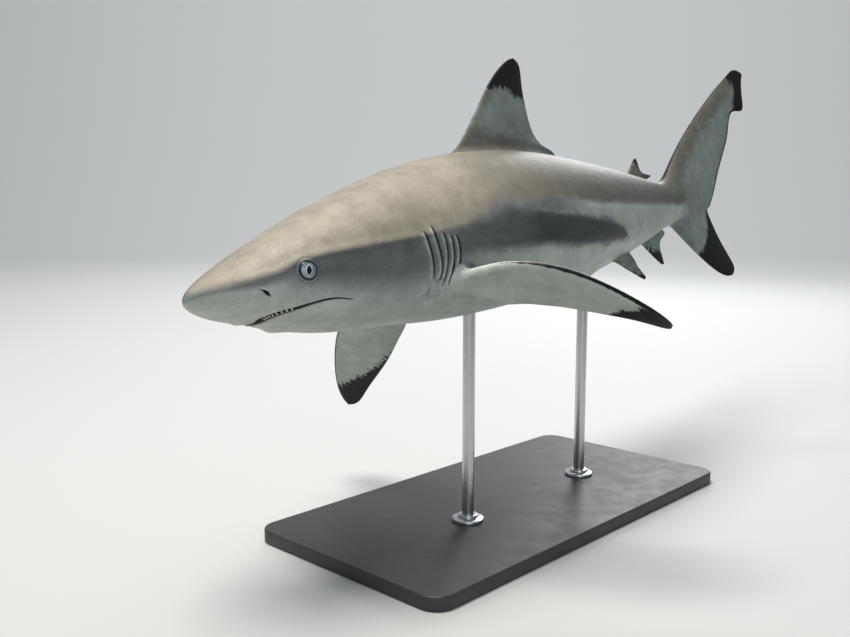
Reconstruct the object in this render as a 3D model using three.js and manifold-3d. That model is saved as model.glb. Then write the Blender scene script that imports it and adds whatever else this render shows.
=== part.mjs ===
// A blacktip reef shark, life size, banking into a turn, on a plain display stand.
//
// The animal is first laid out straight: X runs from the snout back to the tail, Y to its
// right, Z to its back. Each solid is built there, then bent along the spine, banked and
// pitched, and set above the stand. Lengths are in millimetres and angles in degrees.

import * as THREE from 'three';
import { mergeVertices } from 'three/addons/utils/BufferGeometryUtils.js';
import Module from 'manifold-3d';

const wasm = await Module();
wasm.setup();

// ---------------------------------------------------------------- driving sizes

const GAP = 0.3;                 // left between neighbouring pieces
const RIDE_HEIGHT = 390;         // spine above the floor, at the pivot
const PIVOT = 490;               // station that the bend, bank and pitch turn about
const NOSE_DOWN = 4.8;
const BANK = 15.1;               // left side up

// Heading of the spine at stations along the body, positive to the right.
const SPINE = [
  { at: 0, turn: -4.3 },
  { at: 280, turn: -2.7 },
  { at: 560, turn: 2.0 },
  { at: 840, turn: 7.7 },
  { at: 1120, turn: -2.7 },
  { at: 1400, turn: -13.7 },
];

// Sections of the body. Each is an egg-shaped ring between a top and a bottom point.
// half is its half width, widest the share of the way down where the width is greatest,
// roundTop and roundBottom the exponents of its two curves: 2 is an ellipse.
const BODY = [
  { at: 0, top: -5, bottom: -5, half: 0, widest: 0.45, roundTop: 2, roundBottom: 2 },
  { at: 8, top: 6, bottom: -15, half: 18, widest: 0.5, roundTop: 2, roundBottom: 2.1 },
  { at: 42, top: 25, bottom: -32, half: 48, widest: 0.52, roundTop: 1.9, roundBottom: 2.3 },
  { at: 105, top: 50, bottom: -55, half: 70, widest: 0.52, roundTop: 2.1, roundBottom: 2.2 },
  { at: 168, top: 72, bottom: -70, half: 80, widest: 0.52, roundTop: 2.2, roundBottom: 2.1 },
  { at: 259, top: 96, bottom: -80, half: 90, widest: 0.52, roundTop: 2.1, roundBottom: 2.1 },
  { at: 315, top: 107, bottom: -87, half: 93, widest: 0.53, roundTop: 2, roundBottom: 2.1 },
  { at: 434, top: 117, bottom: -93, half: 95, widest: 0.54, roundTop: 1.9, roundBottom: 2.1 },
  { at: 602, top: 104, bottom: -88, half: 85, widest: 0.54, roundTop: 1.9, roundBottom: 2.1 },
  { at: 728, top: 85, bottom: -74, half: 70, widest: 0.54, roundTop: 1.9, roundBottom: 2.1 },
  { at: 875, top: 62.5, bottom: -55, half: 48.5, widest: 0.53, roundTop: 1.9, roundBottom: 2 },
  { at: 966, top: 46, bottom: -40, half: 34, widest: 0.5, roundTop: 1.9, roundBottom: 1.9 },
];

// Behind the tail stock the sections lean back and become the upper lobe of the tail fin:
// the top point follows its leading edge, the bottom point its trailing edge.
const LOBE = [
  { at: 1029, topAt: 1019, top: 48, bottomAt: 1035, bottom: -35, half: 25, widest: 0.47 },
  { at: 1071, topAt: 1057, top: 73, bottomAt: 1101, bottom: -33, half: 17.5, widest: 0.38 },
  { at: 1120, topAt: 1102, top: 105, bottomAt: 1156, bottom: -20, half: 11, widest: 0.3 },
  { at: 1190, topAt: 1177, top: 152, bottomAt: 1222.5, bottom: 51, half: 7.5, widest: 0.28 },
  { at: 1260, topAt: 1253, top: 196, bottomAt: 1280, bottom: 120, half: 6, widest: 0.28 },
  { at: 1302, topAt: 1296, top: 219, bottomAt: 1311, bottom: 157, half: 4.5, widest: 0.3 },
  { at: 1330, topAt: 1321, top: 231.5, bottomAt: 1340, bottom: 157, half: 3.6, widest: 0.35 },
  { at: 1361, topAt: 1345, top: 240, bottomAt: 1351.5, bottom: 189, half: 3, widest: 0.4 },
  { at: 1379, topAt: 1363, top: 237, bottomAt: 1360, bottom: 216, half: 2.5, widest: 0.45 },
];
const LOBE_ROUND = { top: 1.8, bottom: 1.45 };
const LOBE_EDGE = 0.5;           // half thickness kept along the thin edges of the lobe
const LOBE_EDGE_FROM = 1000;

// Where the body is parted, behind the gills, behind the pelvic fins and at the tail fin.
const NECK = 318;
const HIPS = 760;
const TAIL_ROOT = 1012;
const TAIL_TIP = 1378;

// Fins of the midline: an outline in the X-Z plane, from the front of the root over the tip
// (number `tip` in the list) to the free rear corner and back to the root.
const MIDLINE_FINS = {
  first_dorsal_fin: {
    outline: [
      [406, 101], [444, 130], [484, 167], [525, 207], [560, 232], [591, 243],
      [604, 234], [603, 207], [605, 162], [624, 123], [663, 104], [615, 88],
    ],
    tip: 5, rows: 11, rootHalf: 9, tipHalf: 1.7, lean: 5.5, leanFrom: 112,
  },
  second_dorsal_fin: {
    outline: [
      [866, 49], [893, 65], [920, 82], [936, 89.5],
      [940.5, 83], [949, 63.5], [980, 57], [921, 44],
    ],
    tip: 3, rows: 7, rootHalf: 5, tipHalf: 1.2, lean: 0, leanFrom: 0,
  },
  anal_fin: {
    outline: [
      [859, -41.5], [894, -67], [926, -90], [945, -99],
      [947, -87], [952.5, -60], [980.5, -46], [934, -30],
    ],
    tip: 3, rows: 7, rootHalf: 5, tipHalf: 1.2, lean: 0, leanFrom: 0,
  },
  caudal_fin_lower: {
    outline: [
      [989, -22], [1048, -72], [1098, -114], [1148, -148], [1179, -154],
      [1192, -144], [1186, -122], [1160, -66], [1147, -22], [1133, -2],
    ],
    tip: 4, rows: 9, rootHalf: 6, tipHalf: 1.4, lean: 0, leanFrom: 0,
  },
};

// Paired fins: an outline of chord (back) and span (out), hung on the flank at `root`.
// Each side has its own set: incidence lifts the leading edge, droop lowers the blade at
// the root and at the tip, and twist is added to the incidence at the tip.
const PAIRED_FINS = {
  pectoral_fin: {
    outline: [
      [14, -17], [38, 61], [71, 137], [127, 203], [181, 241], [209, 243],
      [213, 229], [197, 194], [163, 125], [129, 70], [108, 37], [76, -6],
    ],
    tip: 5, rows: 13, span: 245, rootHalf: 10.5, tipHalf: 1.7,
    root: { x: 291, y: 75.3, z: -26.9 },
    left: { incidence: 49.7, rootDroop: -18.3, tipDroop: 36.7, twist: -14.1 },
    right: { incidence: 35.1, rootDroop: -5.2, tipDroop: -0.6, twist: 20.2 },
  },
  pelvic_fin: {
    outline: [
      [0, -10], [29, 26], [57, 53], [73, 62.5],
      [81, 57.5], [91, 36], [109.5, 12.5], [71.5, -11],
    ],
    tip: 3, rows: 7, span: 77, rootHalf: 5.5, tipHalf: 1.2,
    root: { x: 675.6, y: 22.8, z: -53.5 },
    left: { incidence: 5.2, rootDroop: 55.8, tipDroop: 54.8, twist: 2.1 },
    right: { incidence: 7.8, rootDroop: 35.1, tipDroop: 41.9, twist: -0.7 },
  },
};
const FIN_WIDEST = 0.32;         // share of the chord where a fin is thickest
const FIN_LEAD_ROUND = 2;
const FIN_TRAIL_ROUND = 1.5;
const FIN_EDGE = 0.5;            // half thickness left at a fin's edges
const FIN_TIP_CROWD = 1.6;       // crowds the rows of a fin towards its tip
const FIN_LAST = 0.985;          // share of the way to the tip that the last row reaches

// Head: eyes, nostrils, mouth, teeth and gill slits.
const EYE = { x: 108.5, z: -1.5, radius: 16, opening: 10 };
const NOSTRIL = { x: 62, z: -15.5, long: 4.6, high: 2.4, deep: 4.5, slope: 35 };
const MOUTH = {
  upper: [[30, -38], [60, -37.5], [76, -36], [107, -34.6], [125, -34.8], [140, -36.5], [156, -40.9]],
  lower: [[30, -44], [67, -42], [79, -40.8], [93, -40.2], [105, -38.8], [125, -37], [140, -38], [156, -41.3]],
  jawBack: [186, -100],
  reach: 110,
};
const TEETH = { first: 70, last: 108, perSide: 6, height: 4.2, width: 4, inset: 4.5, root: 3 };
const GILLS = [
  { at: 261, top: 14, bottom: -37, hook: 0 },
  { at: 273, top: 20, bottom: -40, hook: 1 },
  { at: 284, top: 12, bottom: -46, hook: 5 },
  { at: 294, top: 7, bottom: -48, hook: 5 },
  { at: 303, top: 5, bottom: -47, hook: 6 },
];
const GILL_SLIT = { width: 1.6, deep: 5, proud: 2, steps: 3 };

// The stand: a flat base and two rods with a collar at the foot of each.
const BASE = { x: 15, y: 0, length: 640, width: 320, thick: 18, corner: 26, bevel: 2 };
const ROD = { radius: 8, sides: 16, sink: 40 };
const RODS = { front: { at: 385 }, rear: { at: 655 } };
const COLLAR = { radius: 21, height: 9, neck: 13, chamfer: 2, sides: 16 };

const BODY_COLUMNS = 32;
const FIN_COLUMNS = 16;
const HEAD_ROWS = 16;
const TRUNK_ROWS = 12;
const STOCK_ROWS = 8;
const LOBE_ROWS = 15;

// ---------------------------------------------------------------- curves

const radians = THREE.MathUtils.degToRad;

// Natural cubic spline through (knots, values), as a function of the knot variable.
function spline(knots, values) {
  const n = knots.length;
  const h = knots.slice(1).map((k, i) => k - knots[i]);
  const slope = h.map((step, i) => (values[i + 1] - values[i]) / step);
  const diagonal = new Array(n).fill(1);
  const right = new Array(n).fill(0);
  const bend = new Array(n).fill(0);
  for (let i = 1; i < n - 1; i++) {
    const lower = i > 1 ? h[i - 1] / diagonal[i - 1] : 0;
    diagonal[i] = 2 * (h[i - 1] + h[i]) - lower * (i > 1 ? h[i - 1] : 0);
    right[i] = 6 * (slope[i] - slope[i - 1]) - lower * right[i - 1];
  }
  for (let i = n - 2; i > 0; i--) {
    bend[i] = (right[i] - h[i] * bend[i + 1]) / diagonal[i];
  }
  return (q) => {
    let i = 0;
    while (i < n - 2 && q > knots[i + 1]) i++;
    const a = (knots[i + 1] - q) / h[i];
    const b = (q - knots[i]) / h[i];
    const lift = ((a ** 3 - a) * bend[i] + (b ** 3 - b) * bend[i + 1]) * h[i] ** 2 / 6;
    return a * values[i] + b * values[i + 1] + lift;
  };
}

// A spline through points of the plane, paced by the square root of their spacing.
function planeCurve(points) {
  const pace = [0];
  for (let i = 1; i < points.length; i++) {
    const step = Math.hypot(points[i][0] - points[i - 1][0], points[i][1] - points[i - 1][1]);
    pace.push(pace[i - 1] + Math.sqrt(step));
  }
  const first = spline(pace, points.map((p) => p[0]));
  const second = spline(pace, points.map((p) => p[1]));
  return { pace, at: (q) => [first(q), second(q)] };
}

// ---------------------------------------------------------------- body sections

const SECTIONS = [
  ...BODY.map((s) => ({ ...s, topAt: s.at, bottomAt: s.at })),
  ...LOBE.map((s) => ({ ...s, roundTop: LOBE_ROUND.top, roundBottom: LOBE_ROUND.bottom })),
];
const FIELDS = ['topAt', 'top', 'bottomAt', 'bottom', 'half', 'widest', 'roundTop', 'roundBottom'];
// The square root of the station as the knot makes the snout blunt and round.
const sectionKnots = SECTIONS.map((s) => Math.sqrt(s.at));
const sectionSplines = {};
for (const field of FIELDS) {
  sectionSplines[field] = spline(sectionKnots, SECTIONS.map((s) => s[field]));
}

function sectionAt(station) {
  const section = {};
  for (const field of FIELDS) section[field] = sectionSplines[field](Math.sqrt(station));
  section.edge = station > LOBE_EDGE_FROM ? LOBE_EDGE : 0;
  return section;
}

// One ring of the body, from the right side over the back. grow swells it all round.
function bodyRing(station, grow = 0) {
  const s = sectionAt(station);
  const ring = [];
  for (let i = 0; i < BODY_COLUMNS; i++) {
    const angle = 2 * Math.PI * i / BODY_COLUMNS;
    const up = Math.sin(angle);
    const out = Math.cos(angle);
    const round = up >= 0 ? s.roundTop : s.roundBottom;
    const rise = Math.abs(up) ** (2 / round);
    const down = up >= 0 ? s.widest * (1 - rise) : s.widest + (1 - s.widest) * rise;
    const edge = s.edge * Math.min(1, 6 * Math.abs(out));
    const side = Math.sign(out) * (Math.abs(out) ** (2 / round) * s.half + edge);
    ring.push(new THREE.Vector3(
      s.topAt + (s.bottomAt - s.topAt) * down,
      side + grow * out,
      s.top + (s.bottom - s.top) * down + grow * up,
    ));
  }
  return ring;
}

// Half width of the body at a station and height, where its sections stand upright.
function halfWidthAt(station, height) {
  const s = sectionAt(station);
  const down = (height - s.top) / (s.bottom - s.top);
  const above = down < s.widest;
  const rise = above ? 1 - down / s.widest : (down - s.widest) / (1 - s.widest);
  const round = above ? s.roundTop : s.roundBottom;
  return s.half * (1 - Math.min(1, rise) ** round) ** (1 / round);
}

// ---------------------------------------------------------------- solids

// A closed surface through rings of points, with a fan of triangles over each end.
function loft(rings) {
  const columns = rings[0].length;
  const points = rings.flat();
  const faces = [];
  for (let row = 0; row < rings.length - 1; row++) {
    for (let i = 0; i < columns; i++) {
      const a = row * columns + i;
      const b = row * columns + (i + 1) % columns;
      faces.push([a, b, b + columns], [a, b + columns, a + columns]);
    }
  }
  for (const row of [0, rings.length - 1]) {
    const centre = new THREE.Vector3();
    for (const p of rings[row]) centre.addScaledVector(p, 1 / columns);
    points.push(centre);
    const hub = points.length - 1;
    for (let i = 0; i < columns; i++) {
      const a = row * columns + i;
      const b = row * columns + (i + 1) % columns;
      faces.push(row === 0 ? [b, a, hub] : [a, b, hub]);
    }
  }
  return solidFrom(points, faces);
}

// Turns points and triangles into a solid whose faces look outwards.
function solidFrom(points, faces) {
  let volume = 0;
  const crossed = new THREE.Vector3();
  for (const [a, b, c] of faces) volume += crossed.crossVectors(points[a], points[b]).dot(points[c]);
  const outward = volume > 0 ? faces : faces.map(([a, b, c]) => [a, c, b]);
  return new wasm.Manifold(new wasm.Mesh({
    numProp: 3,
    vertProperties: new Float32Array(points.flatMap((p) => p.toArray())),
    triVerts: new Uint32Array(outward.flat()),
  }));
}

// A solid from one of three's own geometries.
function solidFromGeometry(geometry) {
  const bare = geometry.clone();
  bare.deleteAttribute('normal');
  bare.deleteAttribute('uv');
  const merged = mergeVertices(bare, 1e-4);
  const positions = merged.getAttribute('position');
  const points = [];
  for (let i = 0; i < positions.count; i++) {
    points.push(new THREE.Vector3().fromBufferAttribute(positions, i));
  }
  const faces = [];
  const index = merged.getIndex().array;
  for (let i = 0; i < index.length; i += 3) faces.push([index[i], index[i + 1], index[i + 2]]);
  return solidFrom(points, faces.filter(([a, b, c]) => a !== b && b !== c && c !== a));
}

function geometryFrom(solid, move = (p) => p) {
  const { vertProperties, triVerts } = solid.getMesh();
  const moved = new Float32Array(vertProperties.length);
  for (let i = 0; i < vertProperties.length; i += 3) {
    move(new THREE.Vector3().fromArray(vertProperties, i)).toArray(moved, i);
  }
  const geometry = new THREE.BufferGeometry();
  geometry.setAttribute('position', new THREE.BufferAttribute(moved, 3));
  geometry.setIndex(new THREE.BufferAttribute(new Uint32Array(triVerts), 1));
  geometry.computeVertexNormals();
  return geometry;
}

// Stations from one cut to the next, evenly paced in the square root of the station.
function stations(from, to, rows) {
  const list = [];
  for (let i = 0; i <= rows; i++) {
    list.push(THREE.MathUtils.lerp(Math.sqrt(from), Math.sqrt(to), i / rows) ** 2);
  }
  return list;
}

const SNOUT = 0.8;
const BODY_STATIONS = {
  head: [SNOUT, 3, ...stations(7, NECK, HEAD_ROWS)],
  trunk: stations(NECK, HIPS, TRUNK_ROWS),
  tail: stations(HIPS, TAIL_ROOT, STOCK_ROWS),
  caudal_fin_upper: stations(TAIL_ROOT, TAIL_TIP, LOBE_ROWS),
};

// A length of the body, drawn in by half a gap at each end where it was parted.
function bodyLength(name) {
  const list = [...BODY_STATIONS[name]];
  if (name !== 'head') list[0] += GAP / 2;
  if (name !== 'caudal_fin_upper') list[list.length - 1] -= GAP / 2;
  return loft(list.map((station) => bodyRing(station)));
}

const wholeBodyStations = [...new Set(Object.values(BODY_STATIONS).flat())].sort((a, b) => a - b);
const grownRings = wholeBodyStations.map((station) => bodyRing(station, GAP));
const grownBody = loft(grownRings);

// ---------------------------------------------------------------- fins

// Rings of a fin from root to tip. place puts (back, out, thickness) into space.
function finSolid(fin, place) {
  const curve = planeCurve(fin.outline);
  const tipPace = curve.pace[fin.tip];
  const endPace = curve.pace[curve.pace.length - 1];
  const rings = [];
  for (let row = 0; row <= fin.rows; row++) {
    const share = FIN_LAST * (1 - (1 - row / fin.rows) ** FIN_TIP_CROWD);
    const lead = curve.at(tipPace * share);
    const trail = curve.at(endPace - (endPace - tipPace) * share);
    const thick = THREE.MathUtils.lerp(fin.rootHalf, fin.tipHalf, share);
    const ring = [];
    for (let i = 0; i < FIN_COLUMNS; i++) {
      const angle = 2 * Math.PI * i / FIN_COLUMNS;
      const chord = (1 - Math.cos(angle)) / 2;
      const front = chord < FIN_WIDEST;
      const away = front ? 1 - chord / FIN_WIDEST : (chord - FIN_WIDEST) / (1 - FIN_WIDEST);
      const round = front ? FIN_LEAD_ROUND : FIN_TRAIL_ROUND;
      const half = thick * (1 - Math.min(1, away) ** round) ** (1 / round);
      const edge = FIN_EDGE * Math.min(1, 4 * Math.abs(Math.sin(angle)));
      ring.push(place(
        THREE.MathUtils.lerp(lead[0], trail[0], chord),
        THREE.MathUtils.lerp(lead[1], trail[1], chord),
        Math.sign(Math.sin(angle)) * (half + edge),
      ));
    }
    rings.push(ring);
  }
  return loft(rings).subtract(grownBody);
}

function midlineFin(fin) {
  const lean = Math.tan(radians(fin.lean));
  return finSolid(fin, (x, z, y) => new THREE.Vector3(x, y - lean * (z - fin.leanFrom), z));
}

// side is -1 for the left fin and 1 for the right.
function pairedFin(fin, side) {
  const set = side < 0 ? fin.left : fin.right;
  const rootDroop = radians(set.rootDroop);
  const tipDroop = radians(set.tipDroop);
  const curl = (tipDroop - rootDroop) / fin.span;
  return finSolid(fin, (back, out, thick) => {
    const share = THREE.MathUtils.clamp(out / fin.span, 0, 1);
    const beyond = out - share * fin.span;
    const droop = rootDroop + (tipDroop - rootDroop) * share;
    const reach = (Math.sin(droop) - Math.sin(rootDroop)) / curl + beyond * Math.cos(droop);
    const drop = (Math.cos(rootDroop) - Math.cos(droop)) / curl + beyond * Math.sin(droop);
    const incidence = radians(set.incidence + set.twist * share);
    const lift = thick * Math.cos(incidence) - back * Math.sin(incidence);
    return new THREE.Vector3(
      fin.root.x + back * Math.cos(incidence) + thick * Math.sin(incidence),
      side * (fin.root.y + reach + lift * Math.sin(droop)),
      fin.root.z - drop + lift * Math.cos(droop),
    );
  });
}

// ---------------------------------------------------------------- head

// The eyeball is sunk so that the flank cuts it at the size of the eye's opening.
function eyeCentre(side) {
  const sunk = Math.sqrt(EYE.radius ** 2 - EYE.opening ** 2);
  return new THREE.Vector3(EYE.x, side * (halfWidthAt(EYE.x, EYE.z) - sunk), EYE.z);
}

function eyeSolid(side, radius) {
  const sphere = new THREE.SphereGeometry(radius, 12, 8);
  const c = eyeCentre(side);
  sphere.translate(c.x, c.y, c.z);
  return solidFromGeometry(sphere);
}

function nostrilCutter(side) {
  const cutter = new THREE.SphereGeometry(1, 8, 6);
  cutter.scale(NOSTRIL.long, NOSTRIL.deep, NOSTRIL.high);
  cutter.rotateY(radians(NOSTRIL.slope));
  cutter.translate(NOSTRIL.x, side * halfWidthAt(NOSTRIL.x, NOSTRIL.z), NOSTRIL.z);
  return solidFromGeometry(cutter);
}

// A curved blade that follows the flank from the top of a gill slit to its foot.
function gillCutter(gill, side) {
  const rings = [];
  for (let i = 0; i <= GILL_SLIT.steps; i++) {
    const share = i / GILL_SLIT.steps;
    const z = THREE.MathUtils.lerp(gill.top, gill.bottom, share);
    const x = gill.at - gill.hook * share ** 3;
    const flank = halfWidthAt(x, z);
    const corners = [[-1, GILL_SLIT.proud], [1, GILL_SLIT.proud], [1, -GILL_SLIT.deep], [-1, -GILL_SLIT.deep]];
    rings.push(corners.map(([across, depth]) => new THREE.Vector3(
      x + across * GILL_SLIT.width / 2,
      side * (flank + depth),
      z,
    )));
  }
  return loft(rings);
}

// Everything below a lip line in side view and ahead of the back of the jaw.
function belowLip(lip, backShift) {
  const [backX, backZ] = MOUTH.jawBack;
  const shape = new THREE.Shape();
  shape.moveTo(lip[0][0], backZ);
  for (const [x, z] of lip) shape.lineTo(x, z);
  shape.lineTo(lip[lip.length - 1][0] + backShift, lip[lip.length - 1][1]);
  shape.lineTo(backX + backShift, backZ);
  const prism = new THREE.ExtrudeGeometry(shape, { depth: 2 * MOUTH.reach, bevelEnabled: false });
  prism.rotateX(Math.PI / 2);
  prism.translate(0, MOUTH.reach, 0);
  return solidFromGeometry(prism);
}

// A four-sided tooth standing on the lower jaw, just inside the lip.
function tooth(station, side) {
  const lip = planeCurve(MOUTH.lower);
  let pace = 0;
  while (lip.at(pace)[0] < station) pace += 0.05;
  const z = lip.at(pace)[1];
  const y = side * (halfWidthAt(station, z) - TEETH.inset);
  const tall = TEETH.height + TEETH.root;
  const cone = new THREE.ConeGeometry(TEETH.width / 2, tall, 4);
  cone.rotateX(Math.PI / 2);
  cone.translate(station, y, z + tall / 2 - TEETH.root);
  return solidFromGeometry(cone);
}

function headSolid() {
  let solid = bodyLength('head').subtract(belowLip(MOUTH.upper, GAP));
  for (const side of [-1, 1]) {
    solid = solid.subtract(eyeSolid(side, EYE.radius + GAP));
    solid = solid.subtract(nostrilCutter(side));
    for (const gill of GILLS) solid = solid.subtract(gillCutter(gill, side));
  }
  return solid;
}

function jawSolid() {
  let solid = bodyLength('head').intersect(belowLip(MOUTH.lower, 0));
  for (const side of [-1, 1]) {
    for (let i = 0; i < TEETH.perSide; i++) {
      const station = THREE.MathUtils.lerp(TEETH.first, TEETH.last, i / (TEETH.perSide - 1));
      solid = solid.add(tooth(station, side));
    }
  }
  return solid;
}

// ---------------------------------------------------------------- pose

const SPINE_STEP = 5;
const SPINE_START = -40;
const SPINE_END = 1440;
const heading = spline(SPINE.map((s) => s.at), SPINE.map((s) => radians(s.turn)));

// The bent spine as a table of points, then shifted to put the pivot at zero.
function spineTable() {
  const table = [{ x: 0, y: 0 }];
  for (let s = SPINE_START; s < SPINE_END; s += SPINE_STEP) {
    const last = table[table.length - 1];
    const turn = heading(THREE.MathUtils.clamp(s + SPINE_STEP / 2, 0, SPINE[SPINE.length - 1].at));
    table.push({
      x: last.x + SPINE_STEP * Math.cos(turn),
      y: last.y + SPINE_STEP * Math.sin(turn),
    });
  }
  const pivot = table[Math.round((PIVOT - SPINE_START) / SPINE_STEP)];
  return table.map((p) => ({ x: p.x - pivot.x, y: p.y - pivot.y }));
}
const spine = spineTable();

function bent(p) {
  const place = (p.x - SPINE_START) / SPINE_STEP;
  const i = Math.floor(place);
  const share = place - i;
  const turn = heading(THREE.MathUtils.clamp(p.x, 0, SPINE[SPINE.length - 1].at));
  return new THREE.Vector3(
    THREE.MathUtils.lerp(spine[i].x, spine[i + 1].x, share) - p.y * Math.sin(turn),
    THREE.MathUtils.lerp(spine[i].y, spine[i + 1].y, share) + p.y * Math.cos(turn),
    p.z,
  );
}

const attitude = new THREE.Matrix4()
  .makeTranslation(0, 0, RIDE_HEIGHT)
  .multiply(new THREE.Matrix4().makeRotationY(radians(-NOSE_DOWN)))
  .multiply(new THREE.Matrix4().makeRotationX(radians(-BANK)));

function posed(p) {
  return bent(p).applyMatrix4(attitude);
}

// ---------------------------------------------------------------- stand

function baseSolid() {
  const { length, width, thick, corner, bevel } = BASE;
  const halfX = length / 2 - bevel;
  const halfY = width / 2 - bevel;
  const round = corner - bevel;
  const shape = new THREE.Shape();
  shape.absarc(halfX - round, halfY - round, round, 0, Math.PI / 2);
  shape.absarc(-halfX + round, halfY - round, round, Math.PI / 2, Math.PI);
  shape.absarc(-halfX + round, -halfY + round, round, Math.PI, 1.5 * Math.PI);
  shape.absarc(halfX - round, -halfY + round, round, 1.5 * Math.PI, 2 * Math.PI);
  const slab = new THREE.ExtrudeGeometry(shape, {
    depth: thick - 2 * bevel,
    curveSegments: 4,
    bevelThickness: bevel,
    bevelSize: bevel,
    bevelSegments: 1,
  });
  slab.translate(BASE.x, BASE.y, bevel);
  return solidFromGeometry(slab);
}

const posedGrownBody = loft(grownRings.map((ring) => ring.map(posed)));

// A rod stands on the base and is cut off by the belly above it.
function rodSolid(rod) {
  const foot = posed(new THREE.Vector3(rod.at, 0, sectionAt(rod.at).bottom));
  const from = BASE.thick + GAP;
  const height = foot.z + ROD.sink - from;
  const cylinder = new THREE.CylinderGeometry(ROD.radius, ROD.radius, height, ROD.sides);
  cylinder.rotateX(Math.PI / 2);
  cylinder.translate(foot.x, foot.y, from + height / 2);
  return solidFromGeometry(cylinder).subtract(posedGrownBody);
}

// A collar turned in metal: its section closes on itself round the rod.
function collarSolid(rod) {
  const foot = posed(new THREE.Vector3(rod.at, 0, sectionAt(rod.at).bottom));
  const bore = ROD.radius + GAP;
  const section = [
    [bore, 0],
    [COLLAR.radius, 0],
    [COLLAR.radius, COLLAR.height / 2 - COLLAR.chamfer / 2],
    [COLLAR.radius - COLLAR.chamfer, COLLAR.height / 2],
    [COLLAR.neck, COLLAR.height / 2],
    [COLLAR.neck, COLLAR.height],
    [bore, COLLAR.height],
    [bore, 0],
  ];
  const ring = new THREE.LatheGeometry(section.map(([r, z]) => new THREE.Vector2(r, z)), COLLAR.sides);
  ring.rotateX(Math.PI / 2);
  ring.translate(foot.x, foot.y, BASE.thick + GAP);
  return solidFromGeometry(ring);
}

// ---------------------------------------------------------------- materials

function finish(color, roughness, metalness = 0) {
  return new THREE.MeshStandardMaterial({ color, roughness, metalness });
}
const BACK = finish(0x6f6e66, 0.5);
const FLANK = finish(0x7f8d92, 0.5);
const PALE = finish(0xc9d0c4, 0.5);
const FIN_GREY = finish(0x8d9290, 0.5);
const EYE_GREY = finish(0x8fa3a6, 0.1);
const PAINTED = finish(0x2c2e30, 0.55, 0.1);
const STEEL = finish(0x9fa2a4, 0.3, 1);

// ---------------------------------------------------------------- assembly

const group = new THREE.Group();
function addPiece(name, geometry, material) {
  const mesh = new THREE.Mesh(geometry, material);
  mesh.name = name;
  group.add(mesh);
}

addPiece('head', geometryFrom(headSolid(), posed), FLANK);
addPiece('lower_jaw', geometryFrom(jawSolid(), posed), PALE);
addPiece('trunk', geometryFrom(bodyLength('trunk'), posed), FLANK);
addPiece('tail', geometryFrom(bodyLength('tail'), posed), BACK);
addPiece('caudal_fin_upper', geometryFrom(bodyLength('caudal_fin_upper'), posed), FIN_GREY);
for (const [name, fin] of Object.entries(MIDLINE_FINS)) {
  addPiece(name, geometryFrom(midlineFin(fin), posed), FIN_GREY);
}
for (const [word, side] of [['left', -1], ['right', 1]]) {
  addPiece(`eye_${word}`, geometryFrom(eyeSolid(side, EYE.radius), posed), EYE_GREY);
  for (const [name, fin] of Object.entries(PAIRED_FINS)) {
    addPiece(`${name}_${word}`, geometryFrom(pairedFin(fin, side), posed), PALE);
  }
}
addPiece('stand_base', geometryFrom(baseSolid()), PAINTED);
for (const [word, rod] of Object.entries(RODS)) {
  addPiece(`stand_rod_${word}`, geometryFrom(rodSolid(rod)), STEEL);
  addPiece(`stand_collar_${word}`, geometryFrom(collarSolid(rod)), STEEL);
}

// The part's own origin is under the middle of its box, on the floor.
const box = new THREE.Box3().setFromObject(group);
const middle = box.getCenter(new THREE.Vector3());
group.position.set(-middle.x, -middle.y, -box.min.z);
group.updateMatrixWorld(true);

export default group;
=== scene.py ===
"""A blacktip reef shark, life size, as a still museum model on a plain display stand.

The skin is one surface over the whole animal. It is laid out straight, in millimetres, with X
from the snout back, Y to the animal's right and Z to its back. Then it is bent along the spine,
banked, pitched and set on the stand, in metres.
"""

import math

import bmesh
import bpy
import numpy as np
from mathutils import Matrix, Vector
from mathutils.bvhtree import BVHTree


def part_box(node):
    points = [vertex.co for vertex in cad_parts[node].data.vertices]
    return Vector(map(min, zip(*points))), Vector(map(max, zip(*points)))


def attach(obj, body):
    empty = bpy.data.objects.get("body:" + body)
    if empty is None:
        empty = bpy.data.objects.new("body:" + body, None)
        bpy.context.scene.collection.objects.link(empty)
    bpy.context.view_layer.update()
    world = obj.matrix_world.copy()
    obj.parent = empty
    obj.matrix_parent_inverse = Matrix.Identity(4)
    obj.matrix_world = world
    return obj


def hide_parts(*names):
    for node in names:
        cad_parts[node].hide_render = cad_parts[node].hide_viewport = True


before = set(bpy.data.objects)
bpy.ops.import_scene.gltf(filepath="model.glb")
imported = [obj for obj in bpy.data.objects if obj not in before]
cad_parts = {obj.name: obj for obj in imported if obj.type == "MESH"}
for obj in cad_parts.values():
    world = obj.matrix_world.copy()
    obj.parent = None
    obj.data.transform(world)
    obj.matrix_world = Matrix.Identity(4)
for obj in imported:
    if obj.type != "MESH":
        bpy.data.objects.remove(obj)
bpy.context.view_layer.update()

# ------------------------------------------------------------------------------------------
# Camera. It stands ahead of the snout on the animal's left, about level with the top of its
# shoulder, and looks slightly down along the flank to the tail.

CAMERA_AT = (-1.1719, -0.7900, 0.4528)
CAMERA_TURN = 46.5
CAMERA_DOWN = 8.0
CAMERA_LENS = 39.34

camera = bpy.data.objects.new("camera", bpy.data.cameras.new("camera"))
camera.location = CAMERA_AT
camera.rotation_euler = (math.radians(90 - CAMERA_DOWN), 0, math.radians(-CAMERA_TURN))
camera.data.sensor_width = 36
camera.data.lens = CAMERA_LENS
camera.data.clip_start = 0.05
bpy.context.scene.collection.objects.link(camera)
bpy.context.scene.camera = camera
bpy.context.scene.view_settings.view_transform = "Standard"

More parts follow.
